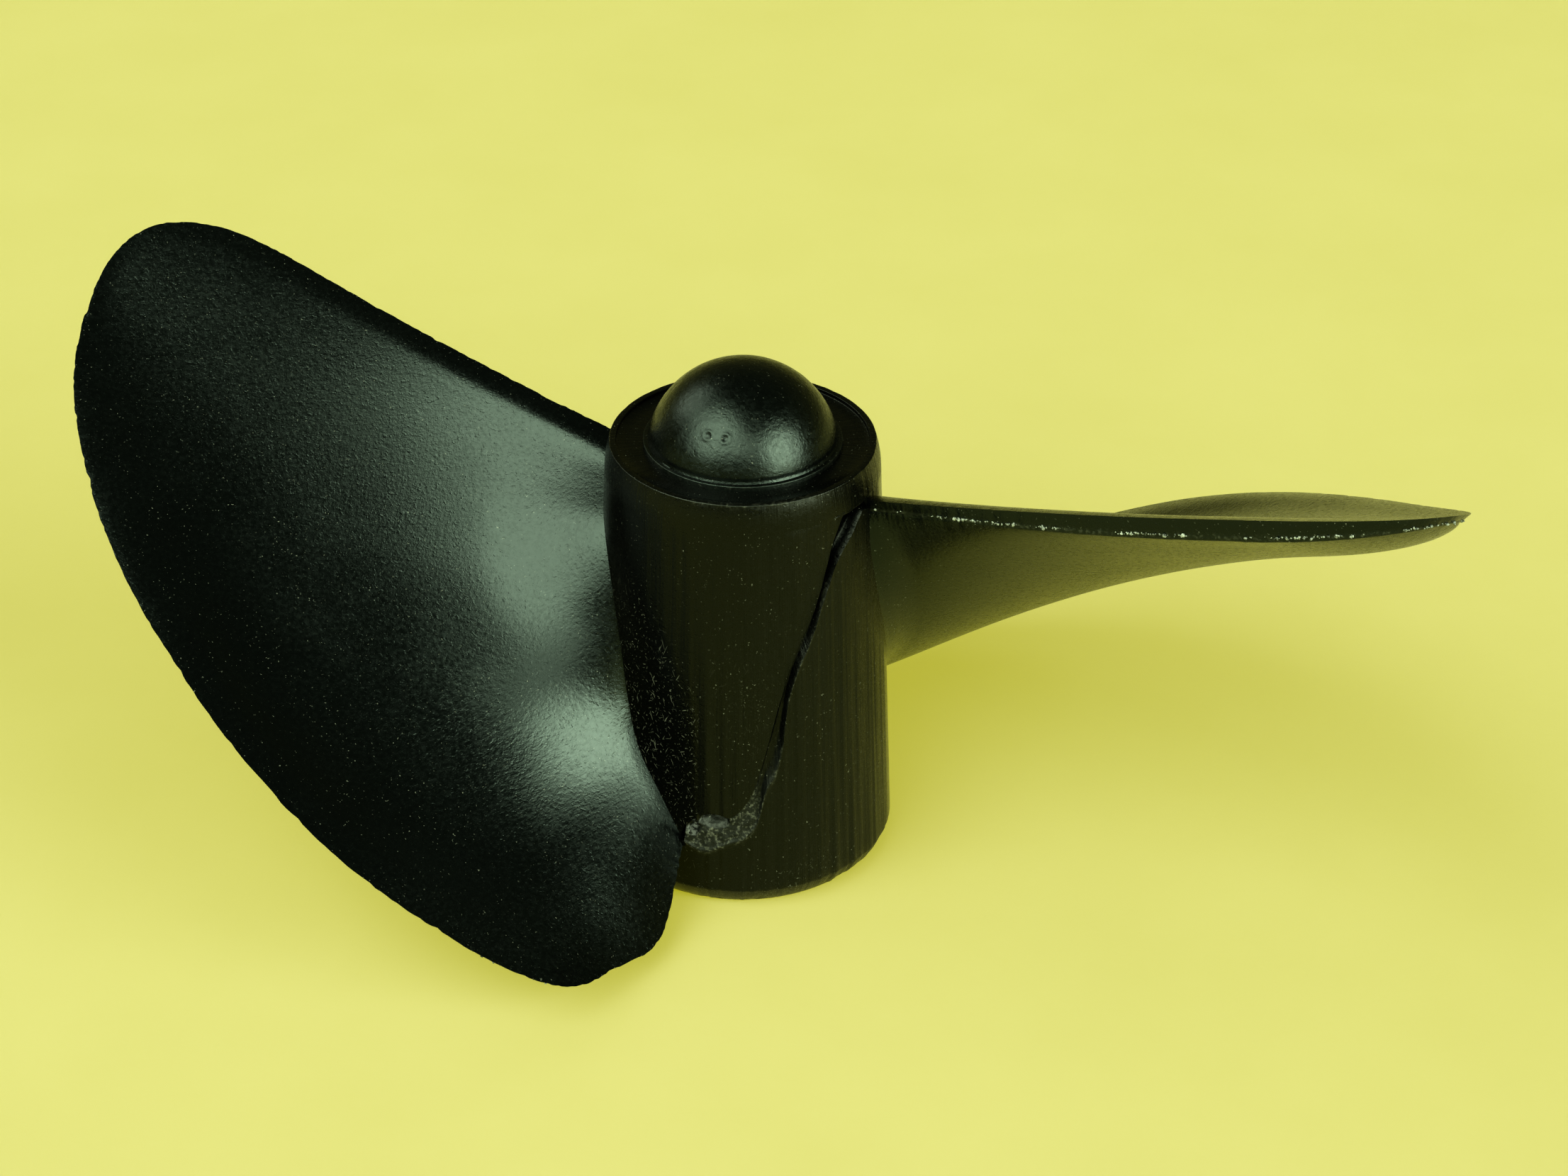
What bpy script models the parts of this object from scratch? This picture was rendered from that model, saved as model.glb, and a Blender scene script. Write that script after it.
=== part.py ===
"""Two-bladed left-hand ship propeller for a model boat, moulded in black nylon.

The propeller stands on the shaft end of its hub, with the domed nose upwards.
The shaft axis is the Z axis, the floor is z = 0, and the two blades are one shape
and its half turn about the axis.  Lengths below are in millimetres and angles in
degrees; azimuth is measured from +X towards +Y.
"""
import math

import bpy

MM = 0.001

# Driving dimensions of the propeller.
TIP_RADIUS = 22.5
HUB_LENGTH = 14.7
RIM_RADIUS = 4.2
HUB_FOOT_RADIUS = 4.97
SEAT_GAP = 0.03

# Hub: a barrel with draft, a narrow lip round its top and a bevel round its foot.
HUB_DRAFT = 0.045
BAND_HEIGHT = 0.95
BEVEL_HEIGHT = 0.75
BEVEL_WIDTH = 0.46
LIP_WIDTH = 0.26
RECESS_DEPTH = 0.2
LIP_ROUNDING = 0.04
HUB_COLUMNS = 72

# Parting line of the mould on the open side of the hub, between the blades.
PARTING_STATIONS = (
    (248.0, 2.15),
    (262.0, 1.95),
    (271.0, 2.35),
    (280.0, 4.95),
    (293.0, 8.50),
    (306.0, 11.30),
    (326.0, 13.30),
)
PARTING_LEDGE = 0.15
PARTING_STEP_HALF = 0.1
PARTING_FADE = 0.12

# Nose: a dome on a low pedestal that stands in the recess of the hub's top.
DOME_RADIUS = 2.99
DOME_CENTRE_HEIGHT = HUB_LENGTH - 0.54
PEDESTAL_RADIUS = 3.28
PEDESTAL_ROUNDING = 0.08
DOME_ROWS = 12
DOME_COLUMNS = 48

# Threaded metal bush moulded into the foot of the hub.
BUSH_RADIUS = 2.9
BUSH_BORE_RADIUS = 1.65
BUSH_LENGTH = 8.8
BUSH_RECESS = 0.15
BUSH_CHAMFER = 0.3
BUSH_COLUMNS = 48

# Blade outline seen along the shaft: the high edge beside the nose, the low edge and the tip.
HIGH_EDGE_AZIMUTH = 150.3
TIP_AZIMUTH = 160.5
TIP_ROUND_PART = 0.55
LOW_EDGE_STATIONS = (
    (4.4, 247.0),
    (7.4, 250.3),
    (10.0, 246.5),
    (12.3, 242.3),
    (15.0, 224.4),
    (18.0, 198.4),
    (20.9, 177.4),
    (22.1, 168.8),
    (TIP_RADIUS, TIP_AZIMUTH),
)

# Blade surface: rake of the high edge, pitch of the screw and hollow across the chord.
HIGH_EDGE_HEIGHT = 12.5
RAKE = 0.252
HIGH_EDGE_SAG = 0.34
TIP_DROOP = 1.14
TIP_DROOP_PART = 0.6
PITCH_AT_HUB = 42.6
PITCH_OUTER = 59.1
PITCH_GROWTH_LENGTH = 6.4
TIP_PITCH_GAIN = 17.5
TIP_PITCH_START = 16.9
HOLLOW = 0.75
HOLLOW_CHORD = 40.0

# Blade thickness, square to the surface.
EDGE_THICKNESS = 0.21
EDGE_SWELL = 0.33
EDGE_SWELL_PLACE = 0.75
ROOT_THICKNESS = 1.2
TIP_THICKNESS = 0.6
ROOT_FILLET = 2.0
ROOT_FILLET_REACH = 2.1
ROOT_SEAT_PART = 0.5
TIP_ROW_SHARE = 0.9995
BLADE_ROWS = 26
BLADE_COLUMNS = 22
ROOT_END_STEPS = 8


def clear_scene():
    """Take every object of the starting scene out."""
    for thing in list(bpy.data.objects):
        bpy.data.objects.remove(thing, do_unlink=True)


def linear(hex_colour):
    """Turn an sRGB hex colour into linear RGBA."""
    channels = []
    for start in (1, 3, 5):
        value = int(hex_colour[start:start + 2], 16) / 255.0
        if value <= 0.04045:
            channels.append(value / 12.92)
        else:
            channels.append(((value + 0.055) / 1.055) ** 2.4)
    return (channels[0], channels[1], channels[2], 1.0)


def plain_material(name, hex_colour, metallic, roughness):
    """Make one Principled material."""
    material = bpy.data.materials.new(name)
    material.use_nodes = True
    shader = material.node_tree.nodes["Principled BSDF"]
    shader.inputs["Base Color"].default_value = linear(hex_colour)
    shader.inputs["Metallic"].default_value = metallic
    shader.inputs["Roughness"].default_value = roughness
    material.diffuse_color = linear(hex_colour)
    return material


def hub_nylon():
    return plain_material("hub_black_nylon", "#1b1d1b", 0.0, 0.5)


def dome_nylon():
    return plain_material("dome_black_nylon", "#16191a", 0.0, 0.32)


def blade_nylon(name):
    return plain_material(name, "#171b1b", 0.0, 0.42)


def bush_brass():
    return plain_material("bush_brass", "#b08d4a", 1.0, 0.35)


def add_solid(name, points, faces, material, sharp_angle=35.0):
    """Put a closed mesh of points in millimetres into the scene."""
    mesh = bpy.data.meshes.new(name)
    mesh.from_pydata([tuple(float(c) * MM for c in point) for point in points], [], faces)
    mesh.validate()
    mesh.materials.append(material)
    mesh.polygons.foreach_set("use_smooth", [True] * len(mesh.polygons))
    mesh.update()
    mesh.set_sharp_from_angle(angle=math.radians(sharp_angle))
    thing = bpy.data.objects.new(name, mesh)
    bpy.context.scene.collection.objects.link(thing)
    return thing


def smooth_step(value):
    """Ease from 0 to 1 as value goes from 0 to 1."""
    value = min(max(value, 0.0), 1.0)
    return value * value * (3.0 - 2.0 * value)


def curve_through(stations, position):
    """Read a smooth curve through stations: a cubic whose slope at each inner
    station is the weighted mean of the slopes of its two sides."""
    xs = [station[0] for station in stations]
    ys = [station[1] for station in stations]
    slopes = [(ys[i + 1] - ys[i]) / (xs[i + 1] - xs[i]) for i in range(len(xs) - 1)]
    tangents = [slopes[0]]
    for i in range(1, len(xs) - 1):
        left = xs[i] - xs[i - 1]
        right = xs[i + 1] - xs[i]
        tangents.append((slopes[i - 1] * right + slopes[i] * left) / (left + right))
    tangents.append(slopes[-1])
    position = min(max(position, xs[0]), xs[-1])
    i = 0
    while i < len(xs) - 2 and position > xs[i + 1]:
        i += 1
    step = xs[i + 1] - xs[i]
    t = (position - xs[i]) / step
    start = ys[i] * (1.0 + 2.0 * t) * (1.0 - t) ** 2 + tangents[i] * step * t * (1.0 - t) ** 2
    end = ys[i + 1] * t * t * (3.0 - 2.0 * t) + tangents[i + 1] * step * t * t * (t - 1.0)
    return start + end


def cone_radius(height):
    """Radius of the hub's drafted wall at a height."""
    return HUB_FOOT_RADIUS - HUB_DRAFT * height


def polar(radius, azimuth, height):
    """Turn radius, azimuth and height into a point."""
    angle = math.radians(azimuth)
    return (radius * math.cos(angle), radius * math.sin(angle), height)


def parting_height(azimuth):
    """Height of the mould's parting line round the hub.

    It climbs across the open side of the hub and runs down under each blade root.
    """
    turned = (azimuth - PARTING_STATIONS[0][0]) % 180.0
    open_width = PARTING_STATIONS[-1][0] - PARTING_STATIONS[0][0]
    if turned <= open_width:
        return curve_through(PARTING_STATIONS, PARTING_STATIONS[0][0] + turned)
    share = (turned - open_width) / (180.0 - open_width)
    high = PARTING_STATIONS[-1][1]
    low = PARTING_STATIONS[0][1]
    return high + (low - high) * share


def ledge_height(azimuth):
    """How far the lower mould half stands proud, fading out at the blade roots."""
    turned = (azimuth - PARTING_STATIONS[0][0]) % 180.0
    open_width = PARTING_STATIONS[-1][0] - PARTING_STATIONS[0][0]
    if turned >= open_width:
        return 0.0
    share = turned / open_width
    return PARTING_LEDGE * smooth_step(share / PARTING_FADE) * smooth_step((1.0 - share) / PARTING_FADE)


def hub_rows(azimuth):
    """Radius and height of each row of the hub at one azimuth, top centre left out."""
    lip_inner = RIM_RADIUS - LIP_WIDTH
    floor_height = HUB_LENGTH - RECESS_DEPTH
    band_foot = HUB_LENGTH - BAND_HEIGHT
    rows = [
        (lip_inner * 0.6, floor_height),
        (lip_inner, floor_height),
        (lip_inner, HUB_LENGTH - LIP_ROUNDING),
        (lip_inner + LIP_ROUNDING, HUB_LENGTH),
        (RIM_RADIUS - LIP_ROUNDING, HUB_LENGTH),
        (RIM_RADIUS, HUB_LENGTH - LIP_ROUNDING),
        ((RIM_RADIUS + 2.0 * cone_radius(band_foot)) / 3.0, HUB_LENGTH - BAND_HEIGHT * 0.45),
        (cone_radius(band_foot), band_foot),
    ]
    split = parting_height(azimuth)
    ledge = ledge_height(azimuth)
    above = split + PARTING_STEP_HALF
    below = split - PARTING_STEP_HALF
    for share in (0.25, 0.5, 0.75, 1.0):
        height = band_foot + (above - band_foot) * share
        rows.append((cone_radius(height), height))
    for share in (0.0, 0.25, 0.5, 0.75, 1.0):
        height = below + (BEVEL_HEIGHT - below) * share
        rows.append((cone_radius(height) + ledge, height))
    foot_radius = cone_radius(0.0) - BEVEL_WIDTH
    rows.append((foot_radius + BEVEL_WIDTH * 0.35, BEVEL_HEIGHT * 0.35))
    rows.append((foot_radius, 0.0))
    socket = BUSH_RADIUS + SEAT_GAP
    rows.append((socket, 0.0))
    rows.append((socket, BUSH_RECESS + BUSH_LENGTH * 0.5))
    rows.append((socket, BUSH_RECESS + BUSH_LENGTH + SEAT_GAP))
    return rows


def turned_solid(name, rows_at, columns, start_height, end_height, material):
    """Closed solid of rings whose ends are closed by points on the axis."""
    points = [(0.0, 0.0, start_height)]
    row_count = 0
    for column in range(columns):
        azimuth = 360.0 * column / columns
        rows = rows_at(azimuth)
        row_count = len(rows)
        for radius, height in rows:
            points.append(polar(radius, azimuth, height))
    points.append((0.0, 0.0, end_height))
    last = len(points) - 1

    def at(column, row):
        return 1 + (column % columns) * row_count + row

    faces = []
    for column in range(columns):
        faces.append((0, at(column, 0), at(column + 1, 0)))
        for row in range(row_count - 1):
            faces.append((at(column, row), at(column, row + 1), at(column + 1, row + 1), at(column + 1, row)))
        faces.append((last, at(column + 1, row_count - 1), at(column, row_count - 1)))
    return add_solid(name, points, faces, material)


def build_hub():
    """The barrel: lip and recess on top, drafted wall with the mould ledge, bevel and socket."""
    top = HUB_LENGTH - RECESS_DEPTH
    ceiling = BUSH_RECESS + BUSH_LENGTH + SEAT_GAP
    return turned_solid("hub", hub_rows, HUB_COLUMNS, top, ceiling, hub_nylon())


def dome_rows(azimuth):
    """Dome from its crown down, then the pedestal under it."""
    rows = []
    low_angle = math.asin((HUB_LENGTH - DOME_CENTRE_HEIGHT + 0.04) / DOME_RADIUS)
    for row in range(1, DOME_ROWS + 1):
        angle = math.pi / 2.0 + (low_angle - math.pi / 2.0) * row / DOME_ROWS
        rows.append((DOME_RADIUS * math.cos(angle), DOME_CENTRE_HEIGHT + DOME_RADIUS * math.sin(angle)))
    foot = HUB_LENGTH - RECESS_DEPTH + SEAT_GAP
    rows.append((PEDESTAL_RADIUS - PEDESTAL_ROUNDING, HUB_LENGTH))
    rows.append((PEDESTAL_RADIUS, HUB_LENGTH - PEDESTAL_ROUNDING))
    rows.append((PEDESTAL_RADIUS, foot))
    return rows


def build_dome():
    """The domed nose on its pedestal."""
    crown = DOME_CENTRE_HEIGHT + DOME_RADIUS
    foot = HUB_LENGTH - RECESS_DEPTH + SEAT_GAP
    return turned_solid("nose_dome", dome_rows, DOME_COLUMNS, crown, foot, dome_nylon())


def build_bush():
    """The threaded bush: a tube with both ends of its bore chamfered."""
    low = BUSH_RECESS
    high = BUSH_RECESS + BUSH_LENGTH
    ring = [
        (BUSH_BORE_RADIUS, low + BUSH_CHAMFER),
        (BUSH_BORE_RADIUS + BUSH_CHAMFER, low),
        (BUSH_RADIUS, low),
        (BUSH_RADIUS, high),
        (BUSH_BORE_RADIUS + BUSH_CHAMFER, high),
        (BUSH_BORE_RADIUS, high - BUSH_CHAMFER),
    ]
    points = []
    for column in range(BUSH_COLUMNS):
        for radius, height in ring:
            points.append(polar(radius, 360.0 * column / BUSH_COLUMNS, height))
    count = len(ring)
    faces = []
    for column in range(BUSH_COLUMNS):
        here = column * count
        there = (column + 1) % BUSH_COLUMNS * count
        for row in range(count):
            after = (row + 1) % count
            faces.append((here + row, there + row, there + after, here + after))
    return add_solid("shaft_bush", points, faces, bush_brass())


def tip_share(radius):
    """0 at the tip and 1 at the hub, growing as the square root of the distance."""
    return math.sqrt(max(TIP_RADIUS - radius, 0.0) / (TIP_RADIUS - LOW_EDGE_STATIONS[0][0]))


def high_edge_azimuth(radius):
    """The high edge is a straight ray that turns round into the tip."""
    turn = max(1.0 - tip_share(radius) / TIP_ROUND_PART, 0.0)
    return HIGH_EDGE_AZIMUTH + (TIP_AZIMUTH - HIGH_EDGE_AZIMUTH) * turn ** 2


def low_edge_azimuth(radius):
    """The low edge, read against the tip share so that the tip closes round."""
    stations = [(-tip_share(station[0]), station[1]) for station in LOW_EDGE_STATIONS]
    return curve_through(stations, -tip_share(radius))


def pitch(radius):
    """Advance of the screw in one turn at a radius."""
    grown = 1.0 - math.exp(-(radius - LOW_EDGE_STATIONS[0][0]) / PITCH_GROWTH_LENGTH)
    near_tip = max(radius - TIP_PITCH_START, 0.0) / (TIP_RADIUS - TIP_PITCH_START)
    return PITCH_AT_HUB + (PITCH_OUTER - PITCH_AT_HUB) * grown + TIP_PITCH_GAIN * near_tip ** 2


def span_share(radius):
    """0 at the hub and 1 at the tip."""
    root = LOW_EDGE_STATIONS[0][0]
    return min(max((radius - root) / (TIP_RADIUS - root), 0.0), 1.0)


def high_edge_height(radius):
    """The high edge rises outwards with the rake, sags a little and droops at the tip."""
    near_tip = max(1.0 - tip_share(radius) / TIP_DROOP_PART, 0.0)
    span = span_share(radius)
    sag = HIGH_EDGE_SAG * 4.0 * span * (1.0 - span)
    return HIGH_EDGE_HEIGHT + RAKE * radius - sag - TIP_DROOP * near_tip ** 2


def mid_surface(radius, chord):
    """Azimuth, height and fall per degree of the blade's middle surface.

    chord goes from 0 at the high edge to 1 at the low edge.  The surface is a screw
    that falls from the high edge, hollowed by a parabola across the chord.
    """
    lead = high_edge_azimuth(radius)
    width = low_edge_azimuth(radius) - lead
    depth = HOLLOW * min(1.0, width / HOLLOW_CHORD)
    azimuth = lead + width * chord
    height = high_edge_height(radius) - pitch(radius) * width * chord / 360.0
    height -= depth * 4.0 * chord * (1.0 - chord)
    fall = pitch(radius) / 360.0
    if width > 0.01:
        fall += depth * 4.0 * (1.0 - 2.0 * chord) / width
    return azimuth, height, fall


def edge_thickness(radius):
    """Thickness of the blunt edge: it swells most at one place of the span."""
    span = span_share(radius)
    away = (span - EDGE_SWELL_PLACE) / (1.0 - EDGE_SWELL_PLACE)
    if span < EDGE_SWELL_PLACE:
        away = (span - EDGE_SWELL_PLACE) / EDGE_SWELL_PLACE
    return EDGE_THICKNESS + EDGE_SWELL * (1.0 - away * away)


def thickness(radius, chord):
    """Thickness: blunt at the edges, fullest at mid chord, thick at the root."""
    middle = ROOT_THICKNESS + (TIP_THICKNESS - ROOT_THICKNESS) * span_share(radius) ** 0.6
    edge = edge_thickness(radius)
    lens = (4.0 * chord * (1.0 - chord)) ** 0.7
    return edge + (middle - edge) * lens


def fillet_flare(distance, chord):
    """Extra half thickness near the root, a hollow round that fades at both edges."""
    share = max(1.0 - distance / ROOT_FILLET_REACH, 0.0) * ROOT_FILLET / ROOT_FILLET_REACH
    flare = ROOT_FILLET * (1.0 - math.sqrt(1.0 - share * share))
    return flare * (4.0 * chord * (1.0 - chord)) ** 2


def side_point(radius, chord, side, distance):
    """Azimuth and height of a point on one side of the blade, +1 above and -1 below."""
    azimuth, height, fall = mid_surface(radius, chord)
    half = thickness(radius, chord) / 2.0 + fillet_flare(distance, chord)
    fall_per_mm = fall / (radius * math.radians(1.0))
    length = math.hypot(1.0, fall_per_mm)
    along = half * fall_per_mm / length
    up = half / length
    return azimuth + side * math.degrees(along / radius), height + side * up


def seated_point(azimuth, height, radius, share):
    """Place a point so that the root row lies on the hub's wall, a seat gap away."""
    root = cone_radius(height) + SEAT_GAP
    nominal = LOW_EDGE_STATIONS[0][0]
    shift = (root - nominal) * (1.0 - smooth_step(share / ROOT_SEAT_PART))
    return polar(radius + shift, azimuth, height)


def blade_points_and_faces():
    """Grid of one blade: upper side, lower side, edges, and a root end on the hub's wall."""
    root = LOW_EDGE_STATIONS[0][0]
    points = []
    upper = {}
    lower = {}
    for row in range(BLADE_ROWS + 1):
        share = (1.0 - math.cos(math.pi * row / BLADE_ROWS)) / 2.0
        radius = root + (TIP_RADIUS - root) * min(share, TIP_ROW_SHARE)
        distance = radius - root
        for column in range(BLADE_COLUMNS + 1):
            chord = (1.0 - math.cos(math.pi * column / BLADE_COLUMNS)) / 2.0
            for side, table in ((1.0, upper), (-1.0, lower)):
                azimuth, height = side_point(radius, chord, side, distance)
                table[row, column] = len(points)
                points.append(seated_point(azimuth, height, radius, share))
    faces = []
    for row in range(BLADE_ROWS):
        for column in range(BLADE_COLUMNS):
            faces.append((upper[row, column], upper[row + 1, column],
                          upper[row + 1, column + 1], upper[row, column + 1]))
            faces.append((lower[row, column], lower[row, column + 1],
                          lower[row + 1, column + 1], lower[row + 1, column]))
        faces.append((upper[row, 0], lower[row, 0], lower[row + 1, 0], upper[row + 1, 0]))
        end = BLADE_COLUMNS
        faces.append((upper[row, end], upper[row + 1, end], lower[row + 1, end], lower[row, end]))
    for column in range(BLADE_COLUMNS):
        row = BLADE_ROWS
        faces.append((upper[row, column], lower[row, column], lower[row, column + 1], upper[row, column + 1]))
    add_root_end(points, faces, upper, lower)
    return points, faces


def add_root_end(points, faces, upper, lower):
    """Close the root with a grid that follows the hub's round wall."""
    root = LOW_EDGE_STATIONS[0][0]
    table = {}
    for column in range(BLADE_COLUMNS + 1):
        chord = (1.0 - math.cos(math.pi * column / BLADE_COLUMNS)) / 2.0
        top_azimuth, top_height = side_point(root, chord, 1.0, 0.0)
        low_azimuth, low_height = side_point(root, chord, -1.0, 0.0)
        table[0, column] = upper[0, column]
        table[ROOT_END_STEPS, column] = lower[0, column]
        for step in range(1, ROOT_END_STEPS):
            part = step / ROOT_END_STEPS
            azimuth = top_azimuth + (low_azimuth - top_azimuth) * part
            height = top_height + (low_height - top_height) * part
            table[step, column] = len(points)
            points.append(seated_point(azimuth, height, root, 0.0))
    for column in range(BLADE_COLUMNS):
        for step in range(ROOT_END_STEPS):
            faces.append((table[step, column], table[step, column + 1],
                          table[step + 1, column + 1], table[step + 1, column]))
    # The two ends of the grid meet the edge strips in one face each.
    first = [table[step, 0] for step in range(ROOT_END_STEPS + 1)]
    last = [table[step, BLADE_COLUMNS] for step in range(ROOT_END_STEPS, -1, -1)]
    faces.append(tuple(first))
    faces.append(tuple(last))


def build_blade(name, turn, material):
    """One blade, turned about the shaft."""
    points, faces = blade_points_and_faces()
    cosine = math.cos(math.radians(turn))
    sine = math.sin(math.radians(turn))
    turned = [(x * cosine - y * sine, x * sine + y * cosine, z) for x, y, z in points]
    return add_solid(name, turned, faces, material)


def main():
    clear_scene()
    build_hub()
    build_dome()
    build_bush()
    build_blade("left_blade", 0.0, blade_nylon("left_blade_black_nylon"))
    build_blade("right_blade", 180.0, blade_nylon("right_blade_black_nylon"))


main()
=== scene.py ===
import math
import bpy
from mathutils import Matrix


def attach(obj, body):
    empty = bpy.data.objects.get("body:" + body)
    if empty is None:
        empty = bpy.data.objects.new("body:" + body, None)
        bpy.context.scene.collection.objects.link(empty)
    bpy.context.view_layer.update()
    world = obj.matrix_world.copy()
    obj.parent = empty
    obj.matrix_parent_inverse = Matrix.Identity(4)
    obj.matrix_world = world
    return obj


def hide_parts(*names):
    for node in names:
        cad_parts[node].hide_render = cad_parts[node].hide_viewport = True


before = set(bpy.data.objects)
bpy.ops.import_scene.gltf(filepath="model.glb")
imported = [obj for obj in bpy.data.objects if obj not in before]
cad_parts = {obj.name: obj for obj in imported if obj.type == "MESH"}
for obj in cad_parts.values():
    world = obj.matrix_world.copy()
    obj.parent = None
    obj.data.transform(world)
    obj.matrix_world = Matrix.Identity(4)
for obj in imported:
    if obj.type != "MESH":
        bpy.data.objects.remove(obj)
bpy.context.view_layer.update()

# Looks of a two-bladed model ship propeller, moulded in black nylon and photographed on
# pale yellow paper.  Lengths are in millimetres and angles in degrees.  Azimuth turns
# from +X towards +Y, the shaft axis is Z and the floor is z = 0.
from types import SimpleNamespace

import bmesh
import bpy
import numpy as np
from mathutils import Matrix

MM = 0.001
SEED = 20

# Hub: its columns, and the rings of its parts from the recess down.  The wall's rings
# crowd towards the seam, by a power above it and one below it.
HUB_COLUMNS = 512
RECESS_RINGS = 10
CORNER_RINGS = 6
BAND_RINGS = 12
WALL_RINGS = 46
SEAM_RINGS = 26
BEVEL_RINGS = 13
FOOT_RINGS = 8
CROWDING_ABOVE = 1.6
CROWDING_BELOW = 1.4
HUB_LENGTH = 14.7
RIM_RADIUS = 4.2
RIM_ROUNDING = 0.04
FOOT_RADIUS = 4.97
DRAFT = 0.045
BAND_HEIGHT = 0.95
BAND_FOOT = HUB_LENGTH - BAND_HEIGHT
BAND_BULGE = 0.03
BEVEL_HEIGHT = 0.75
BEVEL_WIDTH = 0.46
BEVEL_ROUNDNESS = 0.45
LIP_WIDTH = 0.22
LIP_ROUNDING = 0.03
RECESS_DEPTH = 0.13
RECESS_FILLET = 0.02
FOOT_FLAT_RADIUS = FOOT_RADIUS - BEVEL_WIDTH
SEAT_GAP = 0.03

# Torn seam of the mould across the open side of the hub: its high and its low border,
# as azimuth and height, and its way back down behind a blade root.
SEAM_HIGH = (
    (248.0, 3.05), (253.3, 3.20), (259.0, 3.50), (266.9, 3.55), (270.7, 3.92),
    (274.0, 4.44), (280.0, 6.21), (284.2, 7.56), (288.4, 8.76), (293.3, 9.74),
    (299.7, 10.75), (303.1, 11.50), (309.5, 12.95), (315.2, 13.75), (326.0, 14.10),
)
SEAM_LOW = (
    (248.0, 2.40), (254.5, 2.15), (265.7, 2.56), (272.1, 2.85), (276.0, 3.40),
    (278.5, 4.40), (282.7, 5.10), (285.2, 6.10), (286.8, 7.36), (289.7, 8.38),
    (296.5, 9.69), (303.1, 11.10), (309.8, 12.30), (318.0, 13.00), (326.0, 13.60),
)
SEAM_HIDDEN = ((331.5, 13.45), (425.5, 2.4))
SEAM_BELOW_BAND = 0.05
SEAM_LEAST_WIDTH = 0.02

# The lower mould half stands proud by a ledge.  The seam is gritty up to one azimuth and
# torn up to another, and its groove is deep from a third one on.
LEDGE = 0.15
LEDGE_AZIMUTH = 275.0
GRITTY_TO = 276.0
GRITTY_FADE = 6.0
TORN_TO = 302.0
TORN_FADE = 6.0
DEEP_FROM = 299.0
DEEP_FADE = 9.0

# Profile of the seam from its high border down: a groove, a step up to the ledge and a
# thin ridge of flash.  Places along it are shares of the seam's width.  The step starts
# later and is steeper where the groove is deep.
SEAM_GROOVE = 0.10
DEEP_GAIN = 3.0
GROOVE_STEEPNESS = 6.0
GROOVE_PAST_STEP = 0.15
GROOVE_RISE = 0.5
DEEP_RISE_LESS = 0.4
STEP_START = 0.4
DEEP_STEP_LATER = 0.4
STEP_END = 0.95
FLASH_HEIGHT = 0.05
FLASH_PLACE = 0.93
FLASH_WIDTH = 0.07
FLASH_SKIRT = 0.4
FLASH_SKIRT_REACH = 0.05

# Chips at the low end of the seam: azimuth, height, half width and half height.
CHIPS = ((259.0, 3.30, 6.2, 0.24), (251.0, 2.95, 2.4, 0.30))
CHIP_DEPTH = 0.16
CHIP_TILT = 0.10
CHIP_STEEPNESS = 3.0

# How torn the parts of the hub are, from 0 to 1.
LIP_TORN = 0.1
RIM_TORN = 0.35
BAND_TORN = 0.3
BAND_TORN_REACH = 0.05
GRIT_TORN = 0.8
FLASH_TORN = 0.7
CHIP_TORN = 0.1

# Crumbly corners of the hub at the rim and the foot: height, depth and reach.
CRUMBLY_CORNERS = ((HUB_LENGTH, 0.05, 0.1), (0.0, 0.16, 0.25))
CRUMBLY_WIDTH = 0.1
CRUMBLY_SIZE = 0.3
CRUMBLY_LIMIT = 0.45
TORN_RELIEF = 0.10
TORN_GRAIN = 0.16
WALL_WAVE = 0.006
WALL_WAVE_SIZE = 0.5
WALL_LEAST_RADIUS = 4.25
WALL_LEAST_HEIGHT = 0.1

# Filed lines up the wall begin at a sharp line below; higher up that line leans to the
# left and spreads.
RIDGED_FROM = 252.5
RIDGED_TO = 350.0
RIDGED_END_WIDTH = 8.0
RIDGED_START_WIDTH = 1.5
RIDGED_SPREAD = 22.0
RIDGED_SPREAD_FROM = 6.5
RIDGED_SPREAD_TALL = 6.0
RIDGED_LEAN = 28.0
RIDGED_LEAN_FROM = 7.0
RIDGED_LEAN_TALL = 5.0
RIDGE_DEPTH = 0.06
RIDGE_DRIFT = 0.02
RIDGE_SIZE = 0.15
WIDE_RIDGE_SIZE = 0.3
WIDE_RIDGE_PART = 0.6
RIDGE_PATCH_SIZE = 1.6
RIDGE_PATCH_LIMIT = 0.3
RIDGE_PATCH_FADE = 0.3
RIDGE_WEAKEST = 0.35
RIDGE_LOSS = 0.45
RIDGE_LOSS_FROM = 3.0
RIDGE_LOSS_TALL = 7.0
RIDGED_OFF_THE_WALL = 0.6

# Scratched part of the wall, left of the lines, and two scuffed spots right of their
# start: azimuth, height, half width, half height and strength.
SCRATCHED_MIDDLE = 6.2
SCRATCHED_REACH = 4.4
SCUFFED_SPOTS = ((272.0, 7.6, 16.0, 2.2, 0.22), (298.0, 1.0, 16.0, 0.7, 0.5))
FOOT_SCUFFED = 0.5
FOOT_MARGIN = 0.05

# Nose.
DOME_COLUMNS = 256
DOME_RINGS = 150
DOME_RADIUS = 3.05
DOME_CENTRE_HEIGHT = HUB_LENGTH - 0.54
DOME_WAVE = 0.012
DOME_WAVE_SIZE = 0.35
PEDESTAL_RADIUS = 3.13
PEDESTAL_RISE = 0.03
PEDESTAL_ROUNDING = 0.035
PEDESTAL_TORN = 0.2
PEDESTAL_TORN_WIDTH = 0.04
PEDESTAL_TORN_DROP = 0.06
DOME_SINK = 0.02
DOME_PUSH_FROM = 0.005
PARTING_LIFT = 0.12
PARTING_WIDTH = 0.06
PARTING_DEPTH = 0.02

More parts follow.
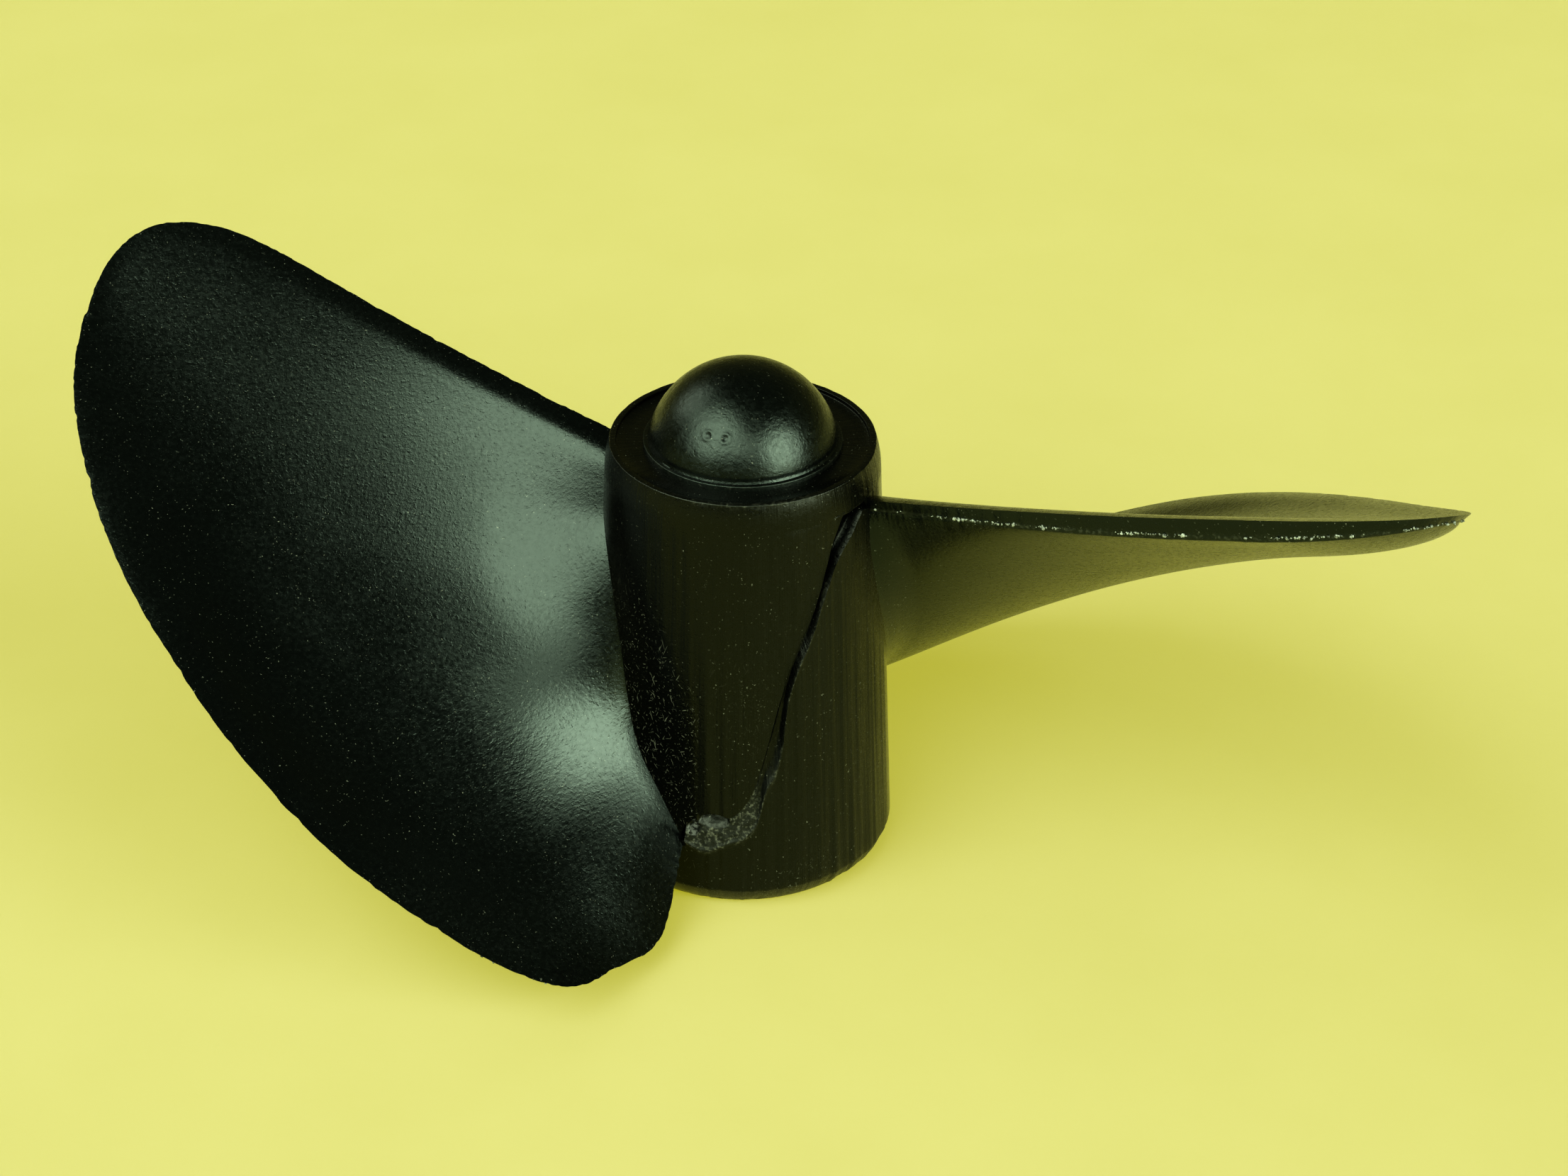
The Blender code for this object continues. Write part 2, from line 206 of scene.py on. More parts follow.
# Pock marks on the dome, as azimuth and elevation, and the size of their ring and pit.
POCK_MARKS = ((244.0, 37.0), (257.0, 37.0))
POCK_RING_RADIUS = 0.15
POCK_RING_WIDTH = 0.045
POCK_RING_HEIGHT = 0.018
POCK_PIT_WIDTH = 0.09
POCK_PIT_DEPTH = 0.03

# Bush with its M4 thread.
BUSH_COLUMNS = 160
BUSH_ROWS = 240
BUSH_RADIUS = 2.9
BUSH_LENGTH = 8.8
BUSH_RECESS = 0.15
BUSH_BEVEL = 0.05
THREAD_MINOR_RADIUS = 1.65
THREAD_MAJOR_RADIUS = 2.0
THREAD_PITCH = 0.7
THREAD_STEEPNESS = 1.25
THREAD_CREST = 0.1
MOUTH_RADIUS = THREAD_MAJOR_RADIUS + 0.1

# Blade outline: its low edge as radius and azimuth.
ROOT_RADIUS = 4.4
TIP_RADIUS = 22.5
HIGH_EDGE_AZIMUTH = 150.3
TIP_AZIMUTH = 160.5
TIP_ROUND_PART = 0.55
LOW_EDGE = (
    (ROOT_RADIUS, 247.0), (7.4, 250.3), (10.0, 246.5), (12.3, 242.3), (15.0, 224.4),
    (18.0, 198.4), (20.9, 177.4), (22.1, 168.8), (TIP_RADIUS, TIP_AZIMUTH),
)

# Blade surface.
HIGH_EDGE_HEIGHT = 12.5
RAKE = 0.252
HIGH_EDGE_SAG = 0.34
TIP_DROOP = 1.14
TIP_EXTRA_DROOP = 0.7
TIP_DROOP_PART = 0.6
PITCH_AT_HUB = 42.6
PITCH_OUTER = 59.1
PITCH_GROWTH_LENGTH = 6.4
TIP_PITCH_GAIN = 17.5
TIP_PITCH_START = 16.9
UPPER_HOLLOW = 0.75
UPPER_HOLLOW_CHORD = 70.0
LOWER_HOLLOW = 0.95
LOWER_HOLLOW_CHORD = 40.0

# Blade thickness and edges.
EDGE_THICKNESS = 0.21
EDGE_SWELL = 0.33
EDGE_SWELL_PLACE = 0.75
ROOT_THICKNESS = 1.2
TIP_THICKNESS = 0.6
THINNING_POWER = 0.6
LENS_POWER = 0.7
HIGH_EDGE_ROUNDING = 0.9
LOW_EDGE_RISE = 4.3
LOW_EDGE_FLAT = 0.15
HIGH_EDGE_OVERHANG = 6.0
LOW_EDGE_UNDERCUT = 0.4
OUTLINE_INSET = 0.05
HEART_ROOT_PART = 0.3
EDGE_SHIFT_REACH = 2.2
TIP_BLEND_LENGTH = 3.0
TIP_TAPER_LENGTH = 4.5
# Nicks in the edge: depth, width and the limit above which the noise cuts in.
EDGE_NICKS = ((0.03, 0.18, 0.5), (0.05, 0.6, 0.8), (0.015, 0.08, 0.0))
HIGH_EDGE_NICK_PART = 0.6

# How far the blade swells towards the hub, square to itself, by share of the chord: a long
# ramp and, inside it, the fillet that ends on the hub.
UPPER_RAMP = (
    (0.0, 0.0), (0.12, 0.22), (0.3, 0.86), (0.45, 1.25), (0.6, 0.78), (0.75, 0.4),
    (0.9, 0.3), (1.0, 0.0),
)
UPPER_ROOT = (
    (0.0, 0.0), (0.08, 0.25), (0.13, 0.62), (0.2, 1.2), (0.31, 1.4), (0.4, 1.24),
    (0.47, 1.02), (0.6, 0.43), (0.72, -0.05), (0.86, -0.03), (1.0, 0.0),
)
UPPER_RAMP_REACH = 18.0
UPPER_ROOT_REACH = 3.75
UPPER_ROOT_POWER = 1.3
CORNER_WIDTH = 0.16
LOWER_RAMP = ((0.0, 0.0), (0.2, 0.1), (0.5, 0.2), (0.8, 0.1), (1.0, 0.0))
LOWER_ROOT = ((0.0, 0.1), (0.15, 0.8), (0.6, 0.9), (0.85, 0.4), (1.0, 0.1))
LOWER_RAMP_REACH = 8.0
LOWER_ROOT_REACH = 1.2
ROOT_SINK = 0.3
SKIN_SINK = 0.05
SKIN_SINK_REACH = 0.4
SEAT_FADE_PART = 0.5

# Grid of a blade, and the strips across its blunt edge with their line of flash, at a
# part of the way down.
BLADE_ROWS = 360
BLADE_COLUMNS = 94
LAST_ROW_PART = 0.999999
EDGE_STRIPS = 10
EDGE_BULGE = 0.02
EDGE_FLASH = 0.05
EDGE_FLASH_WIDTH = 0.1
EDGE_FLASH_SIZE = 0.09
EDGE_FLASH_LIMIT = 0.35
EDGE_FLASH_DRIFT = 0.3
SEAM_PART = 0.85
EDGE_TORN = 0.5
EDGE_TORN_WIDTH = 0.12

# Crumbs of torn nylon, how many lie along the seam of each blade, and the blades' seeds.
LEFT_BLADE_CRUMBS = 260
RIGHT_BLADE_CRUMBS = 700
LEFT_BLADE_SEED = 40
RIGHT_BLADE_SEED = 70
CRUMB_RINGS = 5
CRUMB_SIDES = 6
CRUMB_SMALLEST = 0.018
CRUMB_GROWTH = 0.035
CRUMB_GROWTH_POWER = 2.5
CRUMB_SCATTER = 0.02
CRUMB_CLUSTER_SIZE = 1.2
CRUMB_CLUSTER_PART = 0.6
CRUMB_CLUMP_SIZE = 0.3
CRUMB_LEAST_STRETCH = 0.7
CRUMB_STRETCH_RANGE = 0.8
CRUMB_LEAST_BUMP = 0.75
CRUMB_BUMP_RANGE = 0.5

# Looks of the nylon: the usual roughness of noise, and the tilts and turns of scratches.
NOISE_ROUGHNESS = 0.6
SCRATCH_DIRECTIONS = ((20.0, 150.0), (-35.0, 130.0), (65.0, 160.0), (-70.0, 140.0))

# Light and paper.
LIGHT_DISTANCE = 900.0
LIGHT_DISC_GAP = 20.0
LIGHT_COLOUR = "#f8fff4"
# Name, azimuth, elevation, angular radius and radiance of each light.
SOFT_LIGHTS = (
    ("left_back_light", 152.7, 37.0, 17.9, 2.2),
    ("left_light", 221.7, 43.3, 28.75, 4.55),
    ("middle_light", 269.7, 35.9, 18.0, 2.5),
    ("right_light", 321.5, 21.6, 24.0, 7.0),
)
# Discs of each light, one behind the other, so that its rim is soft: share of its radius
# and of its radiance.
LIGHT_DISCS = ((1.1, 0.22), (1.0, 0.38), (0.82, 0.48))
CEILING_COLOUR = "#4e5347"
WALL_COLOUR = "#6e6d3f"
PAPER_LIGHT = "#7a786b"
PAPER_DARK = "#777568"
PAPER_SPECK = "#8a864a"
# Glow of the paper: painted light, which lightens and yellows the shadows on it.
PAPER_PAINTED_GLOW = "#949104"
PAPER_SIZE = 3000.0

# Camera of the photograph.
PHOTO_WIDTH = 2212
FOCAL_PIXELS = 4500.0
SENSOR_MM = 36.0
CAMERA_BACK = 86.785
CAMERA_HEIGHT = 64.174
CAMERA_PITCH = math.degrees(0.565310)
CAMERA_YAW = math.degrees(0.015329)
CAMERA_ROLL = math.degrees(0.009594)
NEAREST_SEEN = 1.0
FARTHEST_SEEN = 10000.0


# Numbers and patterns.

def smooth_step(value):
    """Eases from 0 to 1: 3 v^2 - 2 v^3, held at both ends."""
    value = np.clip(value, 0.0, 1.0)
    return value * value * (3.0 - 2.0 * value)


def eased(value, start, width):
    """0 up to start and 1 from a width further on, eased between."""
    return smooth_step((value - start) / width)


def bell(away, width):
    """1 at distance 0, falling as exp(-(away / width)^2)."""
    return np.exp(-(away / width) ** 2)


def curve_through(stations, position):
    """Cubic through stations whose slope at each one is the weighted mean of both sides."""
    xs, ys = np.array(stations, float).T
    steps = np.diff(xs)
    slopes = np.diff(ys) / steps
    inner = (slopes[:-1] * steps[1:] + slopes[1:] * steps[:-1]) / (steps[:-1] + steps[1:])
    tangents = np.concatenate([slopes[:1], inner, slopes[-1:]])
    position = np.clip(position, xs[0], xs[-1])
    i = np.clip(np.searchsorted(xs, position, side="right") - 1, 0, len(steps) - 1)
    step = steps[i]
    t = (position - xs[i]) / step
    start = ys[i] * (1.0 + 2.0 * t) * (1.0 - t) ** 2 + tangents[i] * step * t * (1.0 - t) ** 2
    end = ys[i + 1] * t * t * (3.0 - 2.0 * t) + tangents[i + 1] * step * t * t * (t - 1.0)
    return start + end


def lattice_noise(points, size, seed):
    """Noise from 0 to 1: random values on a lattice of that size, eased between its corners."""
    table = np.random.default_rng(SEED + seed).random((32, 32, 32))
    place = np.asarray(points, float) / size + 500.0
    low = np.floor(place).astype(int)
    x, y, z = np.moveaxis(smooth_step(place - low), -1, 0)
    i, j, k = np.moveaxis(low % 32, -1, 0)
    far_i, far_j, far_k = (i + 1) % 32, (j + 1) % 32, (k + 1) % 32
    near = (table[i, j, k] * (1 - x) + table[far_i, j, k] * x) * (1 - y)
    near += (table[i, far_j, k] * (1 - x) + table[far_i, far_j, k] * x) * y
    far = (table[i, j, far_k] * (1 - x) + table[far_i, j, far_k] * x) * (1 - y)
    far += (table[i, far_j, far_k] * (1 - x) + table[far_i, far_j, far_k] * x) * y
    return near * (1 - z) + far * z


def grit(points, size, seed):
    """Three sizes of lattice noise added up, each half as wide and half as strong."""
    total = lattice_noise(points, size, seed)
    total += 0.5 * lattice_noise(points, size * 0.5, seed + 1)
    total += 0.25 * lattice_noise(points, size * 0.25, seed + 2)
    return total / 1.75


def crowded(count):
    """Shares from 0 to 1 that crowd towards both ends: (1 - cos(pi t)) / 2."""
    return (1.0 - np.cos(np.pi * np.linspace(0.0, 1.0, count))) / 2.0


def all_round(columns):
    """Azimuths of columns spaced evenly all round."""
    return np.arange(columns) * 360.0 / columns


def polar(radius, azimuth, height):
    """Points from radius, azimuth and height."""
    angle = np.radians(azimuth)
    return np.stack(np.broadcast_arrays(radius * np.cos(angle), radius * np.sin(angle), height), -1)


# Meshes.

def grid_faces(rows, columns, closed_rows=False):
    """Quads of a grid whose columns join round, and whose rows may too."""
    row_count = rows if closed_rows else rows - 1
    r, c = np.meshgrid(np.arange(row_count), np.arange(columns), indexing="ij")
    after_r, after_c = (r + 1) % rows, (c + 1) % columns
    quads = np.stack([r * columns + c, after_r * columns + c,
                      after_r * columns + after_c, r * columns + after_c], -1)
    return quads.reshape(-1, 4)


def add_object(name, data):
    """Put a mesh, a light or a camera into the scene as an object."""
    made = bpy.data.objects.new(name, data)
    bpy.context.scene.collection.objects.link(made)
    return made


def add_piece(name, points, faces, material, marks=None, sharp=None):
    """Put points in millimetres and their faces into the scene as one closed piece."""
    mesh = bpy.data.meshes.new(name)
    mesh.from_pydata(np.asarray(points).reshape(-1, 3) * MM, [], faces)
    for mark, values in (marks or {}).items():
        attribute = mesh.attributes.new(mark, "FLOAT", "POINT")
        attribute.data.foreach_set("value", np.asarray(values, np.float32).ravel())
    work = bmesh.new()
    work.from_mesh(mesh)
    bmesh.ops.remove_doubles(work, verts=work.verts, dist=1e-8)
    bmesh.ops.recalc_face_normals(work, faces=work.faces)
    work.to_mesh(mesh)
    work.free()
    mesh.shade_smooth()
    if sharp:
        mesh.set_sharp_from_angle(angle=math.radians(sharp))
    mesh.materials.append(material)
    piece = add_object(name, mesh)
    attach(piece, "root")
    return piece


# Materials.

def linear(hex_colour):
    """Turn an sRGB hex colour into linear RGBA."""
    levels = [int(hex_colour[i:i + 2], 16) / 255.0 for i in (1, 3, 5)]
    channels = [v / 12.92 if v <= 0.04045 else ((v + 0.055) / 1.055) ** 2.4 for v in levels]
    return (*channels, 1.0)


def new_material(name):
    """An empty node material and its tree."""
    material = bpy.data.materials.new(name)
    material.use_nodes = True
    material.node_tree.nodes.clear()
    return material, material.node_tree


def add_node(tree, kind, inputs=None, **settings):
    """Add a node with its settings, and set or link each named or numbered input.

    A node given for an input is linked from its first output.
    """
    made = tree.nodes.new(kind)
    for name, value in settings.items():
        setattr(made, name, value)
    for socket, value in (inputs or {}).items():
        if isinstance(value, bpy.types.Node):
            value = value.outputs[0]
        if isinstance(value, bpy.types.NodeSocket):
            tree.links.new(value, made.inputs[socket])
        else:
            made.inputs[socket].default_value = value
    return made


def per_mm(size):
    """Scale of a texture whose features are that many millimetres wide."""
    return 1.0 / (size * MM)


def mottle(tree, place, size_mm, low, high, to_low=0.0, to_high=1.0, detail=3.0):
    """Cloudy pattern of one size: noise between two limits, stretched to a range."""
    clouds = add_node(tree, "ShaderNodeTexNoise",
                      {"Vector": place, "Scale": per_mm(size_mm), "Detail": detail,
                       "Roughness": NOISE_ROUGHNESS})
    return add_node(tree, "ShaderNodeMapRange",
                    {"Value": clouds, "From Min": low, "From Max": high, "To Min": to_low,
                     "To Max": to_high})


def strokes(tree, place, tilt, turn, width_mm, length, detail):
    """Noise drawn out along one tilted and turned direction, so that it makes strokes
    that many times as long as they are wide."""
    drawn_out = add_node(tree, "ShaderNodeMapping",
                         {"Vector": place, "Rotation": (0.0, math.radians(tilt), math.radians(turn)),
                          "Scale": (length, 1.0, 1.0)}, vector_type="TEXTURE")
    return add_node(tree, "ShaderNodeTexNoise",
                    {"Vector": drawn_out, "Scale": per_mm(width_mm), "Detail": detail,
                     "Roughness": NOISE_ROUGHNESS})


def relief(tree, layers):
    """Normal of height patterns laid over each other, each with its depth in millimetres."""
    normal = None
    for height, depth_mm in layers:
        inputs = {"Height": height, "Distance": depth_mm * MM, "Strength": 1.0}
        if normal is not None:
            inputs["Normal"] = normal
        normal = add_node(tree, "ShaderNodeBump", inputs)
    return normal


def ridged_place(tree, place, along):
    """Direction from the shaft axis, the same all the way up but for a slow drift.

    Noise read here runs in lines up the hub, as wide at the foot as at the rim.
    """
    parts = add_node(tree, "ShaderNodeSeparateXYZ", {0: place}).outputs
    flat = add_node(tree, "ShaderNodeCombineXYZ", {0: parts[0], 1: parts[1], 2: 0.0})
    unit = add_node(tree, "ShaderNodeVectorMath", {0: flat}, operation="NORMALIZE")
    even = add_node(tree, "ShaderNodeVectorMath", {0: unit, 3: FOOT_RADIUS * MM}, operation="SCALE")
    drift = add_node(tree, "ShaderNodeMath", {0: parts[2], 1: along}, operation="MULTIPLY")
    lift = add_node(tree, "ShaderNodeCombineXYZ", {0: 0.0, 1: 0.0, 2: drift})
    return add_node(tree, "ShaderNodeVectorMath", {0: even, 1: lift}, operation="ADD")


def pale_dust(tree, place, scuffed):
    """Share of pale dust on the nylon, from 0 to 1.

    Specks are fine noise above a limit, in patches, and the limit drops where it is
    scuffed.  Scratches are strokes above a limit, four ways across the scuffed wall.
    """
    speck_mm, patch_mm, scratch_mm, scratch_length = 0.08, 0.9, 0.06, 9.0
    specks = add_node(tree, "ShaderNodeTexNoise",
                      {"Vector": place, "Scale": per_mm(speck_mm), "Detail": 1.0,
                       "Roughness": NOISE_ROUGHNESS})
    limit = add_node(tree, "ShaderNodeMapRange", {"Value": scuffed, "To Min": 0.71, "To Max": 0.67})
    above = add_node(tree, "ShaderNodeMath", {0: specks, 1: limit}, operation="SUBTRACT")
    dust = add_node(tree, "ShaderNodeMapRange", {"Value": above, "From Max": 0.04})
    patchy = mottle(tree, place, patch_mm, 0.40, 0.65, 0.15, 1.0)
    dust = add_node(tree, "ShaderNodeMath", {0: dust, 1: patchy}, operation="MULTIPLY")
    for tilt, turn in SCRATCH_DIRECTIONS:
        drawn = strokes(tree, place, tilt, turn, scratch_mm, scratch_length, 1.0)
        dashes = add_node(tree, "ShaderNodeMapRange",
                          {"Value": drawn, "From Min": 0.705, "From Max": 0.745, "To Max": 0.7})
        dashes = add_node(tree, "ShaderNodeMath", {0: dashes, 1: scuffed}, operation="MULTIPLY")
        dust = add_node(tree, "ShaderNodeMath", {0: dust, 1: dashes}, operation="MAXIMUM")
    return dust


def nylon_colour(tree, place, base, torn, scuffed):
    """Near black with pale dust, and olive with pale grit where it is torn."""
    grit_mm = 0.11
    dust = pale_dust(tree, place, scuffed)
    dusted = add_node(tree, "ShaderNodeMix", {0: dust, 6: linear(base), 7: linear("#5c5f52")},
                      data_type="RGBA").outputs[2]
    gritty = mottle(tree, place, grit_mm, 0.50, 0.72)
    olive = add_node(tree, "ShaderNodeMix", {0: gritty, 6: linear("#11130c"), 7: linear("#5f6252")},
                     data_type="RGBA").outputs[2]
    return add_node(tree, "ShaderNodeMix", {0: torn, 6: dusted, 7: olive}, data_type="RGBA").outputs[2]


def filed_lines(tree, place, ridged):
    """Height of the lines that run up the wall, stronger in some patches than in others."""
    line_mm, line_drift, patch_mm, patch_drift = 0.16, 0.015, 2.2, 0.1
    lines = add_node(tree, "ShaderNodeTexNoise",
                     {"Vector": ridged_place(tree, place, line_drift), "Scale": per_mm(line_mm),
                      "Detail": 4.0, "Roughness": 0.75})
    patches = mottle(tree, ridged_place(tree, place, patch_drift), patch_mm, 0.4, 0.62, 0.25, 1.0)
    strong = add_node(tree, "ShaderNodeMath", {0: lines, 1: patches}, operation="MULTIPLY")
    return add_node(tree, "ShaderNodeMath", {0: strong, 1: ridged}, operation="MULTIPLY")


def nylon_relief(tree, place, scuffed, ridged, grain_mm, grain_depth_mm, ridge_depth_mm, stroke_turn):
    """Normal of the skin, in layers: its grain, strokes along one direction, filed lines,
    small pits and the crumbly relief of scuffed places."""
    pit_mm, pit_depth_mm, crumb_mm, crumb_depth_mm = 0.13, 0.003, 0.22, 0.012
    grain = add_node(tree, "ShaderNodeTexNoise",
                     {"Vector": place, "Scale": per_mm(grain_mm), "Detail": 4.0, "Roughness": 0.65})
    layers = [(grain, grain_depth_mm)]
    if stroke_turn is not None:
        drawn = strokes(tree, place, 0.0, stroke_turn, grain_mm * 0.9, 3.0, 3.0)
        layers.append((drawn, grain_depth_mm))
    if ridge_depth_mm:
        layers.append((filed_lines(tree, place, ridged), ridge_depth_mm))
    layers.append((mottle(tree, place, pit_mm, 0.30, 0.42, detail=2.0), pit_depth_mm))
    crumbs = add_node(tree, "ShaderNodeTexNoise",
                      {"Vector": place, "Scale": per_mm(crumb_mm), "Detail": 4.0, "Roughness": 0.7})
    crumbly = add_node(tree, "ShaderNodeMath", {0: crumbs, 1: scuffed}, operation="MULTIPLY")
    layers.append((crumbly, crumb_depth_mm))
    return relief(tree, layers)


def nylon_roughness(tree, place, torn, ridged, roughness, grain_mm):
    """Roughness with slow clouds and a fine grain, higher where it is torn or filed."""
    cloud_mm, cloud_swing, grain_swing = 3.0, 0.03, 0.055
    torn_gain, ridged_gain = 0.35, 0.13
    clouds = mottle(tree, place, cloud_mm, 0.3, 0.7, roughness - cloud_swing, roughness + cloud_swing)
    fine = mottle(tree, place, grain_mm * 1.3, 0.35, 0.65, -grain_swing, grain_swing, 2.0)
    rough = add_node(tree, "ShaderNodeMath", {0: clouds, 1: fine}, operation="ADD")
    for mark, gain in ((torn, torn_gain), (ridged, ridged_gain)):
        rough = add_node(tree, "ShaderNodeMath", {0: mark, 1: gain, 2: rough}, operation="MULTIPLY_ADD")
    return rough


def nylon(name, base, tint, roughness, grain_mm, grain_depth_mm, ridge_depth_mm=0.0, stroke_turn=None):
    """Black nylon as it leaves the mould.

    Carbon black makes it nearly black all through, so what the eye gets is gloss: a
    satin skin with fine grain and a few pale specks.  It is dull, olive and gritty where
    the mould seam has torn it (mark torn), covered in fine scratches where it has been
    scuffed (mark scuffed) and lined and duller where the mould was filed (mark ridged).
    The real grain, specks and scratches are only a few hundredths of a millimetre wide
    and are drawn coarser, so that they show.
    """
    material, tree = new_material(name)
    place = add_node(tree, "ShaderNodeTexCoord").outputs["Object"]
    torn, scuffed, ridged = (add_node(tree, "ShaderNodeAttribute", attribute_name=mark).outputs["Fac"]
                             for mark in ("torn", "scuffed", "ridged"))
    colour = nylon_colour(tree, place, base, torn, scuffed)
    rough = nylon_roughness(tree, place, torn, ridged, roughness, grain_mm)
    normal = nylon_relief(tree, place, scuffed, ridged, grain_mm, grain_depth_mm, ridge_depth_mm,
                          stroke_turn)
    shader = add_node(tree, "ShaderNodeBsdfPrincipled",
                      {"Base Color": colour, "Roughness": rough, "Normal": normal,
                       "IOR": 1.53, "Metallic": 0.0, "Specular Tint": linear(tint)})
    add_node(tree, "ShaderNodeOutputMaterial", {0: shader})
    return material


def torn_nylon():
    """Crumbs of torn nylon along the mould seam: stretched white, so pale and dull."""
    material, tree = new_material("torn_nylon_crumbs")
    mottle_mm = 0.15
    tone = mottle(tree, add_node(tree, "ShaderNodeTexCoord").outputs["Object"], mottle_mm, 0.35, 0.65)
    colour = add_node(tree, "ShaderNodeMix", {0: tone, 6: linear("#3a4032"), 7: linear("#98a08c")},
                      data_type="RGBA").outputs[2]
    shader = add_node(tree, "ShaderNodeBsdfPrincipled",
                      {"Base Color": colour, "Roughness": 0.5, "IOR": 1.53})
    add_node(tree, "ShaderNodeOutputMaterial", {0: shader})
    return material


def turned_brass():
    """Free-turning brass: fine rings from the tool, duller where fingers have touched."""
    material, tree = new_material("turned_brass")
    place = add_node(tree, "ShaderNodeTexCoord").outputs["Object"]
    ring_mm, ring_depth_mm, tarnish_mm = 0.9, 0.003, 0.9
    rings = add_node(tree, "ShaderNodeTexWave",
                     {"Vector": place, "Scale": per_mm(ring_mm), "Distortion": 0.4, "Detail": 2.0},
                     wave_type="BANDS", bands_direction="Z").outputs["Fac"]
    tarnish = mottle(tree, place, tarnish_mm, 0.35, 0.7)
    colour = add_node(tree, "ShaderNodeMix", {0: tarnish, 6: linear("#c39c4e"), 7: linear("#9a7a38")},
                      data_type="RGBA").outputs[2]
    shader = add_node(tree, "ShaderNodeBsdfPrincipled",
                      {"Base Color": colour, "Metallic": 1.0, "Roughness": 0.3,
                       "Normal": relief(tree, [(rings, ring_depth_mm)])})
    add_node(tree, "ShaderNodeOutputMaterial", {0: shader})
    return material


def paper():
    """Uncoated pale yellow paper: matt, with faint fibres and clouds.

    Light that enters the thin paper beside the propeller comes up again in its shadow,
    yellower for its way through; a weak glow of painted light stands in for it and
    lightens and yellows the shadows on the paper.
    """
    material, tree = new_material("pale_yellow_paper")
    place = add_node(tree, "ShaderNodeTexCoord").outputs["Object"]
    cloud_mm, speck_mm, fibre_mm, fibre_depth_mm = 9.0, 0.35, 0.4, 0.005
    cloud = mottle(tree, place, cloud_mm, 0.3, 0.7)
    clean = add_node(tree, "ShaderNodeMix", {0: cloud, 6: linear(PAPER_LIGHT), 7: linear(PAPER_DARK)},
                     data_type="RGBA").outputs[2]
    specks = mottle(tree, place, speck_mm, 0.80, 0.83, detail=2.0)
    colour = add_node(tree, "ShaderNodeMix", {0: specks, 6: clean, 7: linear(PAPER_SPECK)},
                      data_type="RGBA").outputs[2]
    fibres = add_node(tree, "ShaderNodeTexNoise",
                      {"Vector": place, "Scale": per_mm(fibre_mm), "Detail": 3.0,
                       "Roughness": NOISE_ROUGHNESS})
    # The emission is painted light: a glow of the paper that lightens and yellows its shadows.
    shader = add_node(tree, "ShaderNodeBsdfPrincipled",
                      {"Base Color": colour, "Roughness": 0.9, "IOR": 1.45,
                       "Emission Color": linear(PAPER_PAINTED_GLOW), "Emission Strength": 1.0,
                       "Normal": relief(tree, [(fibres, fibre_depth_mm)])})
    add_node(tree, "ShaderNodeOutputMaterial", {0: shader})
    return material


# Hub.

def cone_radius(height):
    """Radius of the drafted wall at a height, without the ledge."""
    return FOOT_RADIUS - DRAFT * height


def seam_turn(azimuth):
    """Azimuth brought to the first half turn from where the seam leaves a blade root."""
    return (azimuth - SEAM_LOW[0][0]) % 180.0 + SEAM_LOW[0][0]


def seam_height(azimuth, stations):
    """Height of a border of the seam; under a blade root it runs back down straight."""
    turned = seam_turn(azimuth)
    hidden = (stations[-1], *SEAM_HIDDEN, (stations[0][0] + 180.0, stations[0][1]))
    straight = np.interp(turned, *zip(*hidden))
    return np.where(turned <= stations[-1][0], curve_through(stations, turned), straight)


def ledge_height(azimuth):
    """How far the lower mould half stands proud, because it sat a little to one side."""
    return LEDGE * np.clip(np.cos(np.radians(azimuth - LEDGE_AZIMUTH)), 0.0, 1.0)


def corner_rings(radius, height, rounding, start, end, torn):
    """Quarter of a circle round a corner, as rings of radius, height and torn."""
    angles = np.radians(np.linspace(start, end, CORNER_RINGS))
    return [(radius + rounding * math.cos(a), height + rounding * math.sin(a), torn) for a in angles]


def top_rings():
    """Rings of the recess, the lip and the slightly bulged band under the rim."""
    lip_inner = RIM_RADIUS - LIP_WIDTH
    floor = HUB_LENGTH - RECESS_DEPTH
    flat = lip_inner - RECESS_FILLET
    rings = [(flat * share, floor, 0.0) for share in np.linspace(0.0, 1.0, RECESS_RINGS)]
    rings.append((lip_inner, floor + RECESS_FILLET, 0.0))
    rings += corner_rings(lip_inner + LIP_ROUNDING, HUB_LENGTH - LIP_ROUNDING, LIP_ROUNDING,
                          180.0, 90.0, LIP_TORN)
    rings += corner_rings(RIM_RADIUS - RIM_ROUNDING, HUB_LENGTH - RIM_ROUNDING, RIM_ROUNDING,
                          90.0, 0.0, RIM_TORN)
    for share in np.linspace(0.04, 1.0, BAND_RINGS):
        straight = RIM_RADIUS + (cone_radius(BAND_FOOT) - RIM_RADIUS) * share
        bulge = BAND_BULGE * math.sin(math.pi * share)
        height = HUB_LENGTH - RIM_ROUNDING - (BAND_HEIGHT - RIM_ROUNDING) * share
        rings.append((straight + bulge, height, BAND_TORN * math.exp(-share / BAND_TORN_REACH)))
    return rings


def seam_profile(share, turned, ledge):
    """Push outwards and torn mark at a share of the seam's width from its high border.

    The radius first dips into a groove, then climbs past the proud lower half and ends
    in a thin ridge of flash.  Where the seam is gritty it has no groove.
    """
    gritty = smooth_step((GRITTY_TO + GRITTY_FADE / 2.0 - turned) / GRITTY_FADE)
    deep = eased(turned, DEEP_FROM, DEEP_FADE)
    step_start = STEP_START + DEEP_STEP_LATER * deep
    past_groove = eased(share - step_start, GROOVE_PAST_STEP, GROOVE_RISE - DEEP_RISE_LESS * deep)
    groove = smooth_step(share * GROOVE_STEEPNESS) * (1.0 - past_groove)
    flash = bell(share - FLASH_PLACE, FLASH_WIDTH)
    step = ledge * eased(share, step_start, STEP_END - step_start)
    clean = step - SEAM_GROOVE * (1.0 + DEEP_GAIN * deep) * groove
    push = gritty * ledge * smooth_step(share) + (1.0 - gritty) * clean + FLASH_HEIGHT * flash
    return push, np.maximum(GRIT_TORN * gritty, FLASH_TORN * flash)


